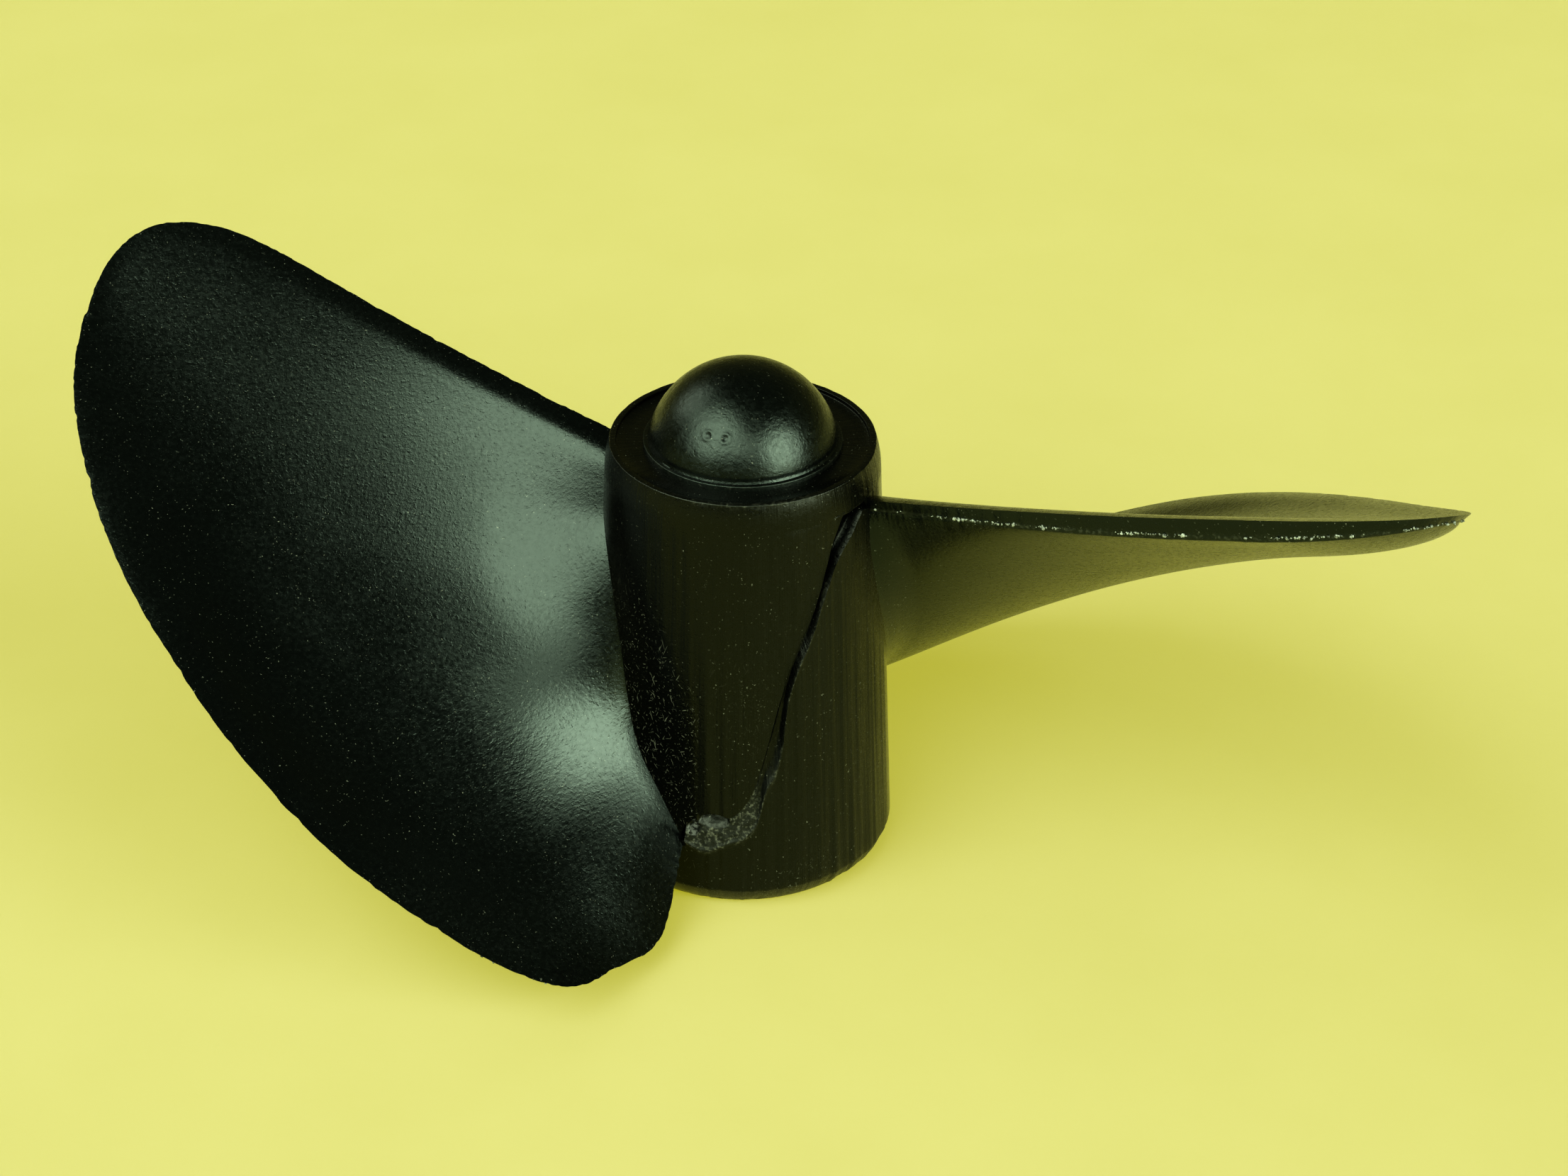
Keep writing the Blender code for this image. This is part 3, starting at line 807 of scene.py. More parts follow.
def wall_rings(azimuth):
    """Rings down the drafted wall: above the seam, across it and below it."""
    ledge = ledge_height(azimuth)
    high = np.minimum(seam_height(azimuth, SEAM_HIGH), BAND_FOOT - SEAM_BELOW_BAND)
    low = np.minimum(seam_height(azimuth, SEAM_LOW), high - SEAM_LEAST_WIDTH)
    rings = []
    for share in 1.0 - np.linspace(1.0, 0.0, WALL_RINGS + 1)[1:] ** CROWDING_ABOVE:
        height = BAND_FOOT + (high - BAND_FOOT) * share
        rings.append((cone_radius(height), height, 0.0))
    for share in np.linspace(0.04, 1.0, SEAM_RINGS):
        height = high + (low - high) * share
        push, torn = seam_profile(share, seam_turn(azimuth), ledge)
        rings.append((cone_radius(height) + push, height, torn))
    for share in np.linspace(0.0, 1.0, WALL_RINGS + 1)[1:] ** CROWDING_BELOW:
        height = low + (BEVEL_HEIGHT - low) * share
        skirt = FLASH_SKIRT * np.exp((height - low) / FLASH_SKIRT_REACH)
        rings.append((cone_radius(height) + ledge + FLASH_HEIGHT * skirt, height, skirt))
    return rings


def foot_rings(ledge):
    """Rings of the rounded bevel, the flat foot and the socket of the bush."""
    wall = cone_radius(BEVEL_HEIGHT) + ledge
    socket = BUSH_RADIUS + SEAT_GAP
    socket_top = BUSH_RECESS + BUSH_LENGTH + SEAT_GAP
    rings = []
    for share in np.linspace(0.08, 1.0, BEVEL_RINGS):
        across = BEVEL_ROUNDNESS * math.sqrt(1.0 - share ** 2) + (1.0 - BEVEL_ROUNDNESS) * (1.0 - share)
        radius = FOOT_FLAT_RADIUS + (wall - FOOT_FLAT_RADIUS) * across
        rings.append((radius, BEVEL_HEIGHT * (1.0 - share), 0.0))
    for share in np.linspace(0.1, 1.0, FOOT_RINGS):
        rings.append((FOOT_FLAT_RADIUS + (socket - FOOT_FLAT_RADIUS) * share, 0.0, 0.0))
    return rings + [(socket, socket_top, 0.0), (0.0, socket_top, 0.0)]


def crumbled(radius, height, points):
    """Radius with crumbs gone from the rim's outer corner and from the foot's corner."""
    gone = np.clip(grit(points, CRUMBLY_SIZE, seed=5) - CRUMBLY_LIMIT, 0.0, 1.0)
    for corner_height, depth, tall in CRUMBLY_CORNERS:
        near = bell(height - corner_height, tall) * (radius > RIM_RADIUS - CRUMBLY_WIDTH)
        radius = radius - depth * near * gone
    return radius


def chipped(radius, height, torn, turned, on_wall):
    """Radius and torn mark with the chips: smooth facets at the low end of the seam."""
    for chip_turn, chip_height, wide, tall in CHIPS:
        inside = 1.0 - ((turned - chip_turn) / wide) ** 2 - ((height - chip_height) / tall) ** 2
        depth = CHIP_DEPTH - CHIP_TILT * (chip_height - height) / tall
        radius = radius - np.where(on_wall, smooth_step(inside * CHIP_STEEPNESS) * depth, 0.0)
        torn = np.where(on_wall & (inside > 0.0), CHIP_TORN, torn)
    return radius, torn


def ridged_share(wall_turn, height):
    """1 where the wall has filed lines.  Their start leans and spreads with height."""
    spread = RIDGED_START_WIDTH + RIDGED_SPREAD * eased(height, RIDGED_SPREAD_FROM, RIDGED_SPREAD_TALL)
    lean = RIDGED_LEAN * eased(height, RIDGED_LEAN_FROM, RIDGED_LEAN_TALL)
    begun = smooth_step((wall_turn - RIDGED_FROM + lean + spread * 0.5) / spread)
    return begun * smooth_step((RIDGED_TO - wall_turn) / RIDGED_END_WIDTH)


def ridge_relief(azimuth, height):
    """Height of the filed lines: two sizes of noise that hardly changes up the wall,
    stronger in patches and weaker towards the rim."""
    place = polar(FOOT_RADIUS, azimuth, RIDGE_DRIFT * height)
    lines = lattice_noise(place, RIDGE_SIZE, seed=15)
    lines = lines + WIDE_RIDGE_PART * lattice_noise(place, WIDE_RIDGE_SIZE, seed=16)
    lines -= 0.5 * (1.0 + WIDE_RIDGE_PART)
    patches = lattice_noise(place, RIDGE_PATCH_SIZE, seed=17)
    strength = RIDGE_WEAKEST + (1.0 - RIDGE_WEAKEST) * eased(patches, RIDGE_PATCH_LIMIT, RIDGE_PATCH_FADE)
    strength *= 1.0 - RIDGE_LOSS * eased(height, RIDGE_LOSS_FROM, RIDGE_LOSS_TALL)
    return RIDGE_DEPTH * lines * strength


def scuffed_share(wall_turn, height, ridged):
    """How scuffed the wall is: scratched left of the filed lines, and in two spots."""
    scuffed = (1.0 - ridged) * np.exp(-((height - SCRATCHED_MIDDLE) / SCRATCHED_REACH) ** 4)
    for spot_turn, spot_height, wide, tall, strength in SCUFFED_SPOTS:
        away = ((wall_turn - spot_turn) / wide) ** 2 + ((height - spot_height) / tall) ** 2
        scuffed += strength * np.exp(-away)
    return np.clip(scuffed, 0.0, 1.0)


def build_hub(material):
    """Barrel: rings of radius and height from the recess down to the foot and up the socket.

    Grit, waves, crumbly corners, chips and filed lines are added to the radius.
    """
    azimuth = all_round(HUB_COLUMNS)
    turned = seam_turn(azimuth)
    rings = top_rings() + wall_rings(azimuth) + foot_rings(ledge_height(azimuth))
    full_rings = np.array([np.broadcast_arrays(*ring, azimuth)[:3] for ring in rings])
    radius, height, torn = np.moveaxis(full_rings, 1, 0)
    points = polar(radius, azimuth, height)
    on_wall = (radius > WALL_LEAST_RADIUS) & (height > WALL_LEAST_HEIGHT) & (height < BAND_FOOT)

    grains = TORN_RELIEF * (grit(points, TORN_GRAIN, seed=3) - 0.5) * torn
    waves = WALL_WAVE * (lattice_noise(points, WALL_WAVE_SIZE, seed=9) - 0.5)
    radius = radius + np.where(on_wall, grains, 0.0) + np.where(on_wall, waves, 0.0)
    radius = crumbled(radius, height, points)
    torn = torn * (1.0 - eased(turned, TORN_TO, TORN_FADE))
    radius, torn = chipped(radius, height, torn, turned, on_wall)
    wall_turn = (azimuth - RIDGED_TO) % 180.0 + RIDGED_TO - 180.0
    ridged = ridged_share(wall_turn, height)
    radius = radius + ridge_relief(azimuth, height) * ridged * on_wall

    on_foot = (height < BEVEL_HEIGHT + FOOT_MARGIN) & (radius > FOOT_FLAT_RADIUS - FOOT_MARGIN)
    scuffed = np.where(on_foot, FOOT_SCUFFED, scuffed_share(wall_turn, height, ridged) * on_wall)
    marks = {"torn": torn, "ridged": np.where(on_wall, ridged, RIDGED_OFF_THE_WALL),
             "scuffed": scuffed}
    faces = grid_faces(len(rings), HUB_COLUMNS)
    hub = add_piece("hub_barrel", polar(radius, azimuth, height), faces, material, marks,
                    sharp=50)
    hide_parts("hub")


def dome_profile(top):
    """Radius and height of the dome, its rounded pedestal and its underside."""
    low_angle = math.asin((top - DOME_CENTRE_HEIGHT) / DOME_RADIUS)
    angles = np.linspace(math.pi / 2.0, low_angle, DOME_RINGS)
    profile = [(DOME_RADIUS * math.cos(a), DOME_CENTRE_HEIGHT + DOME_RADIUS * math.sin(a)) for a in angles]
    for swing in np.radians(np.linspace(90.0, 0.0, CORNER_RINGS)):
        across = PEDESTAL_RADIUS - PEDESTAL_ROUNDING * (1.0 - math.cos(swing))
        profile.append((across, top - PEDESTAL_ROUNDING * (1.0 - math.sin(swing))))
    foot = HUB_LENGTH - RECESS_DEPTH - DOME_SINK
    return profile + [(PEDESTAL_RADIUS, foot), (0.0, foot)]


def dome_relief(points, centre, height):
    """How far the dome's skin stands out: a faint wave, pock marks and a faint groove
    round its foot, where the mould parted.

    Two pock marks left by bubbles are shallow pits with a raised ring, written as the
    difference of two bells of the distance from their centres.
    """
    push = DOME_WAVE * (grit(points, DOME_WAVE_SIZE, seed=31) - 0.5)
    for turn, lift in POCK_MARKS:
        spot = centre + polar(DOME_RADIUS * math.cos(math.radians(lift)), turn,
                              DOME_RADIUS * math.sin(math.radians(lift)))
        away = np.linalg.norm(points - spot, axis=-1)
        ring = POCK_RING_HEIGHT * bell(away - POCK_RING_RADIUS, POCK_RING_WIDTH)
        push += ring - POCK_PIT_DEPTH * bell(away, POCK_PIT_WIDTH)
    return push - PARTING_DEPTH * bell(height - HUB_LENGTH - PARTING_LIFT, PARTING_WIDTH)


def build_dome(material):
    """Dome of radius DOME_RADIUS on its pedestal, turned about the shaft axis."""
    azimuth = all_round(DOME_COLUMNS)
    top = HUB_LENGTH + PEDESTAL_RISE
    radius, height = (np.array(values)[:, None] + 0.0 * azimuth for values in zip(*dome_profile(top)))
    points = polar(radius, azimuth, height)
    centre = np.array([0.0, 0.0, DOME_CENTRE_HEIGHT])
    outward = points - centre
    outward /= np.linalg.norm(outward, axis=-1, keepdims=True) + 1e-9
    push = dome_relief(points, centre, height) * (height > top + DOME_PUSH_FROM)
    points = points + outward * push[..., None]
    near_edge = bell(radius - PEDESTAL_RADIUS, PEDESTAL_TORN_WIDTH)
    torn = PEDESTAL_TORN * near_edge * (height > top - PEDESTAL_TORN_DROP)
    faces = grid_faces(points.shape[0], DOME_COLUMNS)
    dome = add_piece("nose_cap", points, faces, material, {"torn": torn}, sharp=60)
    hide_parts("nose_dome")


def build_bush(material):
    """Tube whose bore carries the thread: the bore's radius follows a triangle wave of
    height over pitch less the turn, and opens to a chamfer at both mouths."""
    azimuth = all_round(BUSH_COLUMNS)
    low, high = BUSH_RECESS, BUSH_RECESS + BUSH_LENGTH
    height = np.linspace(low, high, BUSH_ROWS)[:, None] + 0.0 * azimuth
    phase = (height / THREAD_PITCH - azimuth / 360.0) % 1.0
    wave = 1.0 - np.abs(2.0 * phase - 1.0)
    thread = np.clip(THREAD_STEEPNESS * wave - THREAD_CREST, 0.0, 1.0)
    bore = THREAD_MINOR_RADIUS + (THREAD_MAJOR_RADIUS - THREAD_MINOR_RADIUS) * thread
    bore = np.maximum(bore, MOUTH_RADIUS - np.minimum(height - low, high - height))
    outer = [(BUSH_RADIUS - BUSH_BEVEL, high), (BUSH_RADIUS, high - BUSH_BEVEL),
             (BUSH_RADIUS, low + BUSH_BEVEL), (BUSH_RADIUS - BUSH_BEVEL, low)]
    outer_radius, outer_height = (np.array(values)[:, None] + 0.0 * azimuth for values in zip(*outer))
    points = polar(np.vstack([bore, outer_radius]), azimuth, np.vstack([height, outer_height]))
    faces = grid_faces(points.shape[0], BUSH_COLUMNS, closed_rows=True)
    bush = add_piece("threaded_bush", points, faces, material, sharp=40)
    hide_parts("shaft_bush")


# Blades.

def tip_share(radius):
    """0 at the tip and 1 at the hub, growing as the square root of the distance."""
    return np.sqrt(np.maximum(TIP_RADIUS - radius, 0.0) / (TIP_RADIUS - ROOT_RADIUS))


def span_share(radius):
    """0 at the hub and 1 at the tip."""
    return np.clip((radius - ROOT_RADIUS) / (TIP_RADIUS - ROOT_RADIUS), 0.0, 1.0)


def high_edge_azimuth(radius):
    """A straight ray that turns round into the tip."""
    turn = np.maximum(1.0 - tip_share(radius) / TIP_ROUND_PART, 0.0)
    return HIGH_EDGE_AZIMUTH + (TIP_AZIMUTH - HIGH_EDGE_AZIMUTH) * turn ** 2


def low_edge_azimuth(radius):
    """The low edge, read against the tip share so that the tip closes round."""
    stations = [(-float(tip_share(r)), azimuth) for r, azimuth in LOW_EDGE]
    return curve_through(stations, -tip_share(radius))


def pitch(radius):
    """Advance of the screw in one turn at a radius."""
    grown = 1.0 - np.exp(-(radius - ROOT_RADIUS) / PITCH_GROWTH_LENGTH)
    near_tip = np.maximum(radius - TIP_PITCH_START, 0.0) / (TIP_RADIUS - TIP_PITCH_START)
    return PITCH_AT_HUB + (PITCH_OUTER - PITCH_AT_HUB) * grown + TIP_PITCH_GAIN * near_tip ** 2


def high_edge_height(radius):
    """The high edge rises outwards with the rake, sags a little and droops at the tip."""
    near_tip = np.maximum(1.0 - tip_share(radius) / TIP_DROOP_PART, 0.0)
    span = span_share(radius)
    sag = HIGH_EDGE_SAG * 4.0 * span * (1.0 - span)
    droop = TIP_DROOP * near_tip ** 2 + TIP_EXTRA_DROOP * near_tip ** 4
    return HIGH_EDGE_HEIGHT + RAKE * radius - sag - droop


def screw(radius, chord):
    """Azimuth, height and chord width in degrees of a screw that falls from the high edge
    (chord 0) to the low edge (chord 1)."""
    lead = high_edge_azimuth(radius)
    width = low_edge_azimuth(radius) - lead
    height = high_edge_height(radius) - pitch(radius) * width * chord / 360.0
    return lead + width * chord, height, width


def levelled(share):
    """Grows with the share and levels off at 1 without a corner: s / (1 + s^8)^(1/8)."""
    return share / (1.0 + share ** 8) ** 0.125


def faded(share):
    """The share where it is positive and 0 where it is negative, without a corner: the
    mean of s and the root of s^2 + CORNER_WIDTH^2."""
    return 0.5 * (share + np.sqrt(share * share + CORNER_WIDTH ** 2))


def hollowed(radius, chord, side):
    """Azimuth, height and fall per degree of the surface that one side is raised from.

    The upper side is hollowed by the square of a sine across the chord, the lower side
    by a parabola.
    """
    azimuth, height, width = screw(radius, chord)
    if side > 0.0:
        depth = UPPER_HOLLOW * levelled(width / UPPER_HOLLOW_CHORD)
        bowl, steepness = np.sin(np.pi * chord) ** 2, np.pi * np.sin(2.0 * np.pi * chord)
    else:
        depth = LOWER_HOLLOW * levelled(width / LOWER_HOLLOW_CHORD)
        bowl, steepness = 4.0 * chord * (1.0 - chord), 4.0 * (1.0 - 2.0 * chord)
    fall = pitch(radius) / 360.0 + depth * steepness / np.maximum(width, 0.01)
    return azimuth, height - depth * bowl, fall


def edge_thickness(radius):
    """Thickness of the blunt edge: two half parabolas that meet where it swells most."""
    span = span_share(radius)
    inner = (span - EDGE_SWELL_PLACE) / EDGE_SWELL_PLACE
    outer = (span - EDGE_SWELL_PLACE) / (1.0 - EDGE_SWELL_PLACE)
    away = np.where(span < EDGE_SWELL_PLACE, inner, outer)
    return EDGE_THICKNESS + EDGE_SWELL * (1.0 - away * away)


def quarter_round(distance, width):
    """0 at distance 0 and 1 from width on, along a quarter of an ellipse."""
    share = np.clip(1.0 - distance / width, 0.0, 1.0)
    return np.sqrt(1.0 - share * share)


def nearest_on_line(points, line):
    """Distance from each point to a line of points, and the place along it as an index.

    The nearest point of the line is found first, then the nearer of its two stretches.
    """
    flat = points.reshape(-1, 3)
    distance = np.empty(len(flat))
    place = np.empty(len(flat))
    for start in range(0, len(flat), 4000):
        part = flat[start:start + 4000]
        squares = ((part[:, None, :] - line[None, :, :]) ** 2).sum(-1)
        nearest = squares.argmin(1)
        best = np.full(len(part), np.inf)
        where = np.zeros(len(part))
        for side in (-1, 0):
            i = np.clip(nearest + side, 0, len(line) - 2)
            stretch = line[i + 1] - line[i]
            t = ((part - line[i]) * stretch).sum(-1) / np.maximum((stretch ** 2).sum(-1), 1e-12)
            t = np.clip(t, 0.0, 1.0)
            gap = np.linalg.norm(part - line[i] - stretch * t[:, None], axis=-1)
            closer = gap < best
            best = np.where(closer, gap, best)
            where = np.where(closer, i + t, where)
        distance[start:start + 4000] = best
        place[start:start + 4000] = where
    return distance.reshape(points.shape[:-1]), place.reshape(points.shape[:-1])


def blade_seat(radius, reach, height):
    """Radius at which a point sits: on the hub's cone at the root, free further out."""
    root = cone_radius(height)
    share = (radius - ROOT_RADIUS) / (TIP_RADIUS - ROOT_RADIUS)
    near_root = 1.0 - smooth_step(share / SEAT_FADE_PART)
    return radius + np.minimum(reach, 0.0) + (root - ROOT_RADIUS) * near_root


def swell(reach, chord, ramp, root, ramp_reach, root_part):
    """Half thickness added near the hub: a parabola of the reach that ends level, and the
    fillet inside it, whose shape over the reach is root_part."""
    far = np.clip(1.0 - reach / ramp_reach, 0.0, 1.0) ** 2
    long_part = curve_through(ramp, chord)
    return long_part * far + (curve_through(root, chord) - long_part) * root_part


def low_weight(along, along_tip):
    """0 along the high edge and 1 along the low edge, eased over the tip."""
    return smooth_step(0.5 + (along - along_tip) / (2.0 * TIP_BLEND_LENGTH))


def blade_grid():
    """A blade before it has thickness: rows out from the hub and columns across.

    It holds, for its points, the reach from the hub, the radius, the chord, the distance
    from the outline, the run along it, the direction inwards from it, and low, which is
    0 along the high edge and 1 along the low edge.
    """
    grid = SimpleNamespace()
    free = crowded(BLADE_ROWS) * (TIP_RADIUS - ROOT_RADIUS) * LAST_ROW_PART
    grid.reach = np.concatenate([[-ROOT_SINK, -ROOT_SINK * 0.5], free])[:, None]
    grid.outward = np.maximum(grid.reach, 0.0)
    grid.radius = ROOT_RADIUS + grid.outward
    grid.chord = crowded(BLADE_COLUMNS)
    azimuth, height, width = screw(grid.radius, grid.chord)
    per_radian = pitch(grid.radius) / (2.0 * math.pi)
    grid.chord_length = np.radians(width) * np.hypot(grid.radius, per_radian)
    middle = polar(blade_seat(grid.radius, grid.reach, height), azimuth, height)
    outline = np.vstack([middle[2:, 0], middle[-2:1:-1, -1]])
    length, inward = outline_frame(outline)
    grid.distance, place = nearest_on_line(middle, outline)
    grid.inward = at_place(inward, place)
    grid.run = at_place(length, place)
    grid.low = low_weight(grid.run, length[BLADE_ROWS - 1])
    return grid


def half_thickness(grid):
    """Half thickness of the upper and of the lower side.

    Both are blunt at the edge and swell towards the hub.  The upper side is rounded along
    the high edge and rises slowly from the low edge; the lower side is a lens.
    """
    chord, outward = grid.chord, grid.outward
    edge = edge_thickness(grid.radius) / 2.0
    thinner = (TIP_THICKNESS - ROOT_THICKNESS) * span_share(grid.radius) ** THINNING_POWER
    full = (ROOT_THICKNESS + thinner) / 2.0
    full = np.maximum(full * quarter_round(TIP_RADIUS - grid.radius, TIP_TAPER_LENGTH), edge)
    lens = (4.0 * chord * (1.0 - chord)) ** LENS_POWER
    round_high = np.sin(np.clip(grid.distance / HIGH_EDGE_ROUNDING, 0.0, 1.0) * math.pi / 2.0)
    from_low_edge = grid.chord_length * (1.0 - chord) / LOW_EDGE_RISE
    rise_low = smooth_step(LOW_EDGE_FLAT + (1.0 - LOW_EDGE_FLAT) * from_low_edge)
    upper_lens = round_high + (rise_low - round_high) * grid.low
    upper_root = faded(1.0 - outward / UPPER_ROOT_REACH) ** UPPER_ROOT_POWER
    lower_root = 1.0 - quarter_round(outward, LOWER_ROOT_REACH)
    upper_swell = swell(outward, chord, UPPER_RAMP, UPPER_ROOT, UPPER_RAMP_REACH, upper_root)
    lower_swell = swell(outward, chord, LOWER_RAMP, LOWER_ROOT, LOWER_RAMP_REACH, lower_root)
    return edge + (full - edge) * upper_lens + upper_swell, edge + (full - edge) * lens + lower_swell


def moved(grid, half, side):
    """Points of one side: its hollowed screw, moved square to itself by half the thickness."""
    azimuth, height, fall = hollowed(grid.radius, grid.chord, side)
    per_mm_fall = fall / (grid.radius * math.radians(1.0))
    slope = np.hypot(1.0, per_mm_fall)
    along = np.degrees(half * per_mm_fall / slope / grid.radius)
    new_height = height + side * half / slope
    sink = SKIN_SINK * (1.0 - smooth_step(grid.outward / SKIN_SINK_REACH))
    seat = blade_seat(grid.radius, grid.reach, new_height) - sink
    return polar(seat, azimuth + side * along, new_height)


def nick_depth(run, seed):
    """Depth of the nicks along the outline: three sizes of noise, each above its limit."""
    depth = 0.0
    for number, (deep, wide, limit) in enumerate(EDGE_NICKS):
        above = np.clip(line_noise(run, wide, seed + number) - limit, 0.0, 1.0)
        depth = depth + deep * above / (1.0 - limit)
    return depth


def blade_sides(seed):
    """Points of a blade's two sides as rows out from the hub and columns across, and the
    outward direction and arc length of the outline at the two ends of each row.

    The lower side is set back from the outline: just so far that the high edge's face
    stands upright, as it has to where a mould opens along the shaft, and by a fixed
    undercut at the low edge.  Noise of the distance along the outline nicks both.
    """
    grid = blade_grid()
    upper_half, lower_half = half_thickness(grid)
    nick = nick_depth(grid.run, seed)
    upper_nick = nick * (HIGH_EDGE_NICK_PART + (1.0 - HIGH_EDGE_NICK_PART) * grid.low)
    climb = np.degrees(np.arctan(pitch(grid.radius) / (2.0 * math.pi * grid.radius)))
    upright = edge_thickness(grid.radius) * np.tan(np.radians(climb + HIGH_EDGE_OVERHANG))
    undercut = upright + (LOW_EDGE_UNDERCUT - upright) * grid.low
    fade = np.clip(1.0 - grid.distance / EDGE_SHIFT_REACH, 0.0, 1.0) ** 2
    toward = grid.inward * fade[..., None]
    upper = moved(grid, upper_half, 1.0) + toward * (OUTLINE_INSET + upper_nick)[..., None]
    lower = moved(grid, lower_half, -1.0) + toward * (OUTLINE_INSET + nick + undercut)[..., None]
    ends = [(-grid.inward[:, column], grid.run[:, column]) for column in (0, -1)]
    return upper, lower, ends


def outline_frame(outline):
    """Arc length along the outline and the inward direction at each of its points: square
    to the outline, and towards a heart between its root and its mean."""
    steps = np.linalg.norm(np.diff(outline, axis=0), axis=1)
    length = np.concatenate([[0.0], np.cumsum(steps)])
    tangent = np.gradient(outline, axis=0)
    tangent /= np.linalg.norm(tangent, axis=1, keepdims=True) + 1e-9
    root_middle = outline[[0, -1]].mean(0)
    heart = root_middle * HEART_ROOT_PART + outline.mean(0) * (1.0 - HEART_ROOT_PART)
    inward = heart - outline
    inward -= (inward * tangent).sum(1, keepdims=True) * tangent
    inward /= np.linalg.norm(inward, axis=1, keepdims=True)
    return length, inward


def at_place(values, place):
    """Read values along the outline at places given as fractional indices."""
    i = np.clip(np.floor(place).astype(int), 0, len(values) - 2)
    t = (place - i)[..., None] if values.ndim > 1 else place - i
    return values[i] * (1.0 - t) + values[i + 1] * t


def line_noise(length, size, seed):
    """Lattice noise along a line, from 0 to 1."""
    return lattice_noise(np.stack([length, 0.0 * length, 0.0 * length], -1), size, seed)


def edge_strips(first, last, out, along, seed):
    """Blunt edge from one side to the other: straight across, a little bulged, with a
    rough line of flash near its lower corner."""
    strips = []
    for part in np.arange(1, EDGE_STRIPS) / EDGE_STRIPS:
        flash = bell(part - SEAM_PART, EDGE_FLASH_WIDTH)
        rough = line_noise(along + part * EDGE_FLASH_DRIFT, EDGE_FLASH_SIZE, seed)
        rough = np.clip(rough - EDGE_FLASH_LIMIT, 0.0, 1.0)
        push = EDGE_BULGE * math.sin(math.pi * part) + EDGE_FLASH * flash * rough
        strips.append(first + (last - first) * part + out * push[:, None])
    return strips


def build_blade(name, node, turn, seed, material, crumb_count, crumb_material):
    """One blade with its crumbs; turn is its place round the shaft."""
    upper, lower, (high_end, low_end) = blade_sides(seed)
    low_strips = edge_strips(upper[:, -1], lower[:, -1], *low_end, seed + 5)
    high_strips = edge_strips(upper[:, 0], lower[:, 0], *high_end, seed + 5)
    loop = list(np.moveaxis(upper, 1, 0)) + low_strips
    loop += list(np.moveaxis(lower, 1, 0)[::-1]) + high_strips[::-1]
    points = np.stack(loop, 1)
    rows, columns = points.shape[:2]
    strips = len(low_strips)
    seam = EDGE_TORN * bell(np.arange(1, EDGE_STRIPS) / EDGE_STRIPS - SEAM_PART, EDGE_TORN_WIDTH)
    torn = np.zeros((rows, columns))
    torn[:, BLADE_COLUMNS:BLADE_COLUMNS + strips] = seam
    torn[:, -strips:] = seam[::-1]
    faces = grid_faces(rows, columns).tolist()
    faces.append(list(range(columns)))
    faces.append(list(range((rows - 1) * columns, rows * columns))[::-1])
    turned = turn_about_shaft(points.reshape(-1, 3), turn)
    blade = add_piece(name, turned, faces, material, {"torn": torn}, sharp=70)
    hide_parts(node)
    seam_strip = round(SEAM_PART * EDGE_STRIPS) - 1
    seam_line = np.vstack([high_strips[seam_strip][2:], low_strips[seam_strip][-1:1:-1]])
    seam_line = turn_about_shaft(seam_line, turn)
    add_crumbs(name + "_seam_crumbs", seam_line, crumb_count, seed, crumb_material)


def turn_about_shaft(points, turn):
    """Points turned about the Z axis."""
    cosine, sine = math.cos(math.radians(turn)), math.sin(math.radians(turn))
    spin = np.array([[cosine, -sine, 0.0], [sine, cosine, 0.0], [0.0, 0.0, 1.0]])
    return points @ spin.T


def add_crumbs(name, line, count, seed, material):
    """Grains of torn nylon along a line: small uneven balls, each of CRUMB_RINGS rings
    whose first and last are one point.

    Their places follow noise of the arc length, so they come in clusters.
    """
    rng = np.random.default_rng(SEED + seed)
    steps = np.linalg.norm(np.diff(line, axis=0), axis=1)
    length = np.concatenate([[0.0], np.cumsum(steps)])
    tries = rng.random(count * 4) * length[-1]
    clusters = line_noise(tries, CRUMB_CLUSTER_SIZE, seed + 11)
    clumps = line_noise(tries, CRUMB_CLUMP_SIZE, seed + 12)
    dense = clusters * CRUMB_CLUSTER_PART + clumps * (1.0 - CRUMB_CLUSTER_PART)
    kept = tries[np.argsort(-dense * rng.random(count * 4))[:count]]
    centres = np.stack([np.interp(kept, length, line[:, axis]) for axis in range(3)], -1)
    centres += rng.normal(0.0, CRUMB_SCATTER, centres.shape)
    size = CRUMB_SMALLEST + CRUMB_GROWTH * rng.random(count) ** CRUMB_GROWTH_POWER
    stretch = CRUMB_LEAST_STRETCH + CRUMB_STRETCH_RANGE * rng.random((count, 3))
    lift = np.radians(np.linspace(-90.0, 90.0, CRUMB_RINGS))[:, None]
    ball = polar(np.cos(lift), all_round(CRUMB_SIDES), np.sin(lift))
    bumps = rng.random((count, CRUMB_RINGS, CRUMB_SIDES, 1))
    bumps = CRUMB_LEAST_BUMP + CRUMB_BUMP_RANGE * bumps
    bumps[:, 0] = bumps[:, 0, :1]
    bumps[:, -1] = bumps[:, -1, :1]
    points = centres[:, None, None] + ball * bumps * stretch[:, None, None] * size[:, None, None, None]
    first_points = np.arange(count) * CRUMB_RINGS * CRUMB_SIDES
    faces = grid_faces(CRUMB_RINGS, CRUMB_SIDES)[None] + first_points[:, None, None]
    return add_piece(name, points, faces.reshape(-1, 4), material)


# Scene.

def add_floor(material):
    """Sheet of paper under the propeller."""
    half = PAPER_SIZE / 2.0
    points = np.array([(-half, -half, 0.0), (half, -half, 0.0), (half, half, 0.0), (-half, half, 0.0)])
    mesh = bpy.data.meshes.new("paper_floor")
    mesh.from_pydata(points * MM, [], [(0, 1, 2, 3)])
    mesh.materials.append(material)
    floor = add_object("paper_floor", mesh)


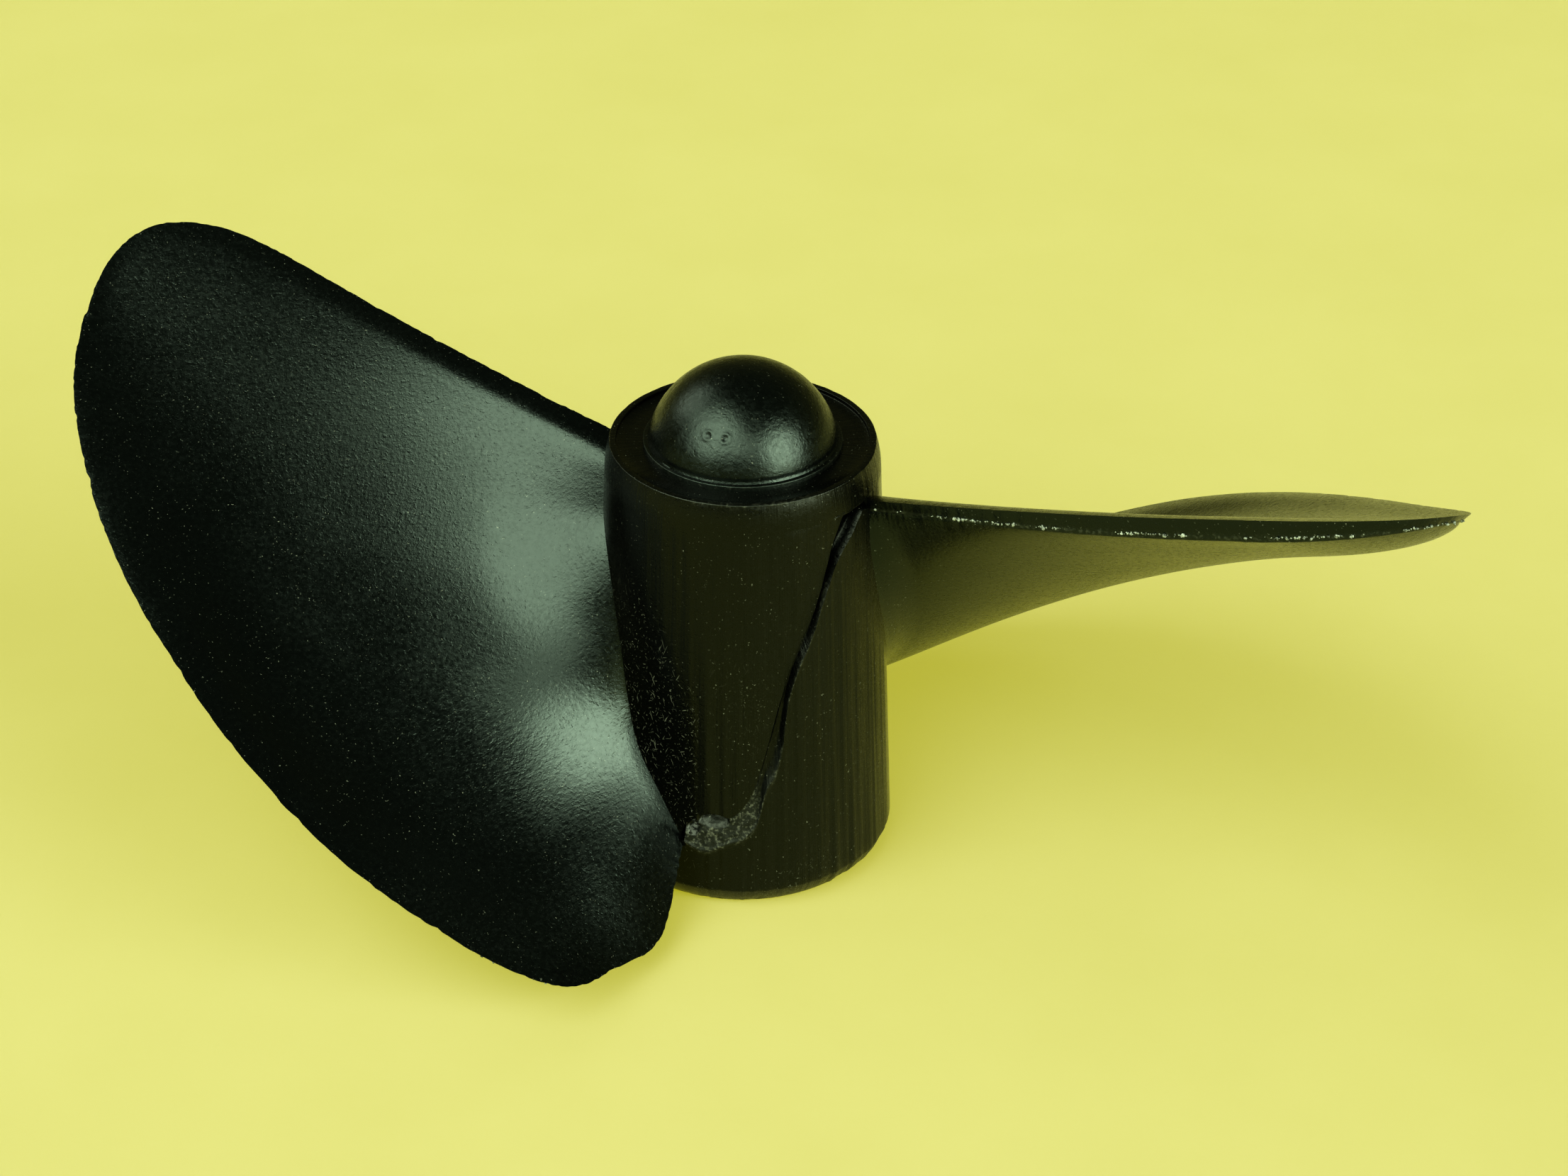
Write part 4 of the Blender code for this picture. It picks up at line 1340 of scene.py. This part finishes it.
def add_soft_light(name, azimuth, elevation, angular_radius, radiance, distance):
    """A round soft light that looks at the propeller from a direction."""
    light = bpy.data.lights.new(name, "AREA")
    light.shape = "DISK"
    diameter = 2.0 * distance * math.tan(math.radians(angular_radius)) * MM
    light.size = diameter
    light.energy = radiance * math.pi * math.pi * (diameter / 2.0) ** 2
    light.color = linear(LIGHT_COLOUR)[:3]
    lamp = add_object(name, light)
    lift = math.radians(elevation)
    toward = polar(math.cos(lift), azimuth, math.sin(lift))
    right = polar(1.0, azimuth + 90.0, 0.0)
    place = toward * distance * MM + np.array([0.0, 0.0, HUB_LENGTH / 2.0 * MM])
    lamp.matrix_world = camera_matrix(right, np.cross(toward, right), toward, place)
    lamp.visible_camera = False


def camera_matrix(right, up, back, place):
    """World matrix whose columns are the right, up and back directions and the place."""
    matrix = Matrix.Identity(4)
    for row in range(3):
        matrix[row][0] = right[row]
        matrix[row][1] = up[row]
        matrix[row][2] = back[row]
        matrix[row][3] = place[row]
    return matrix


def add_camera():
    """Camera at the photograph's place, tilted down, turned and rolled a little."""
    data = bpy.data.cameras.new("photo_camera")
    data.sensor_width = SENSOR_MM
    data.lens = SENSOR_MM * FOCAL_PIXELS / PHOTO_WIDTH
    data.clip_start = NEAREST_SEEN * MM
    data.clip_end = FARTHEST_SEEN * MM
    camera = add_object("photo_camera", data)
    down, turn, roll = (math.radians(v) for v in (CAMERA_PITCH, CAMERA_YAW, CAMERA_ROLL))
    ahead = np.array([math.sin(turn) * math.cos(down), math.cos(turn) * math.cos(down), -math.sin(down)])
    level = np.array([math.cos(turn), -math.sin(turn), 0.0])
    over = np.cross(level, ahead)
    right = math.cos(roll) * level + math.sin(roll) * over
    up = -math.sin(roll) * level + math.cos(roll) * over
    place = np.array([0.0, -CAMERA_BACK, CAMERA_HEIGHT]) * MM
    camera.matrix_world = camera_matrix(right, up, -ahead, place)
    bpy.context.scene.camera = camera


def add_world():
    """Dim room: a grey ceiling and, low behind the propeller, the pale yellow paper that
    runs up the wall."""
    world = bpy.data.worlds.new("dim_room")
    world.use_nodes = True
    tree = world.node_tree
    tree.nodes.clear()
    direction = add_node(tree, "ShaderNodeTexCoord").outputs["Generated"]
    _, back, up = add_node(tree, "ShaderNodeSeparateXYZ", {0: direction}).outputs
    low = add_node(tree, "ShaderNodeMapRange", {"Value": up, "From Min": 0.85, "From Max": 0.10})
    behind = add_node(tree, "ShaderNodeMapRange", {"Value": back, "From Min": -0.3, "From Max": 0.5})
    lowest = add_node(tree, "ShaderNodeMapRange",
                      {"Value": up, "From Min": 0.20, "From Max": 0.0, "To Max": 0.5})
    low_behind = add_node(tree, "ShaderNodeMath", {0: low, 1: behind}, operation="MULTIPLY")
    glow = add_node(tree, "ShaderNodeMath", {0: low_behind, 1: lowest}, operation="MAXIMUM")
    colour = add_node(tree, "ShaderNodeMix", {0: glow, 6: linear(CEILING_COLOUR), 7: linear(WALL_COLOUR)},
                      data_type="RGBA").outputs[2]
    background = add_node(tree, "ShaderNodeBackground", {"Color": colour, "Strength": 1.0})
    add_node(tree, "ShaderNodeOutputWorld", {0: background})
    bpy.context.scene.world = world


def main():
    """Build the propeller, its paper, the lights, the room and the camera."""
    blade_finish = nylon("satin_black_nylon", base="#050706", tint="#e7ffea", roughness=0.235,
                         grain_mm=0.11, grain_depth_mm=0.007, stroke_turn=45.0)
    hub_finish = nylon("ridged_black_nylon", base="#050604", tint="#d2dcc6", roughness=0.17,
                       grain_mm=0.1, grain_depth_mm=0.004, ridge_depth_mm=0.05)
    dome_finish = nylon("glossy_black_nylon", base="#050705", tint="#def5e0", roughness=0.27,
                        grain_mm=0.12, grain_depth_mm=0.014)
    crumbs = torn_nylon()
    build_hub(hub_finish)
    build_dome(dome_finish)
    build_bush(turned_brass())
    build_blade("left_blade_skin", "left_blade", 0.0, LEFT_BLADE_SEED, blade_finish,
                LEFT_BLADE_CRUMBS, crumbs)
    build_blade("right_blade_skin", "right_blade", 180.0, RIGHT_BLADE_SEED, blade_finish,
                RIGHT_BLADE_CRUMBS, crumbs)
    add_floor(paper())
    for name, azimuth, elevation, radius, radiance in SOFT_LIGHTS:
        for number, (wide, bright) in enumerate(LIGHT_DISCS, 1):
            add_soft_light(f"{name}_{number}", azimuth, elevation, radius * wide, radiance * bright,
                           LIGHT_DISTANCE - number * LIGHT_DISC_GAP)
    add_world()
    add_camera()
    bpy.context.scene.view_settings.view_transform = "Standard"
    bpy.context.scene.view_settings.look = "High Contrast"


main()
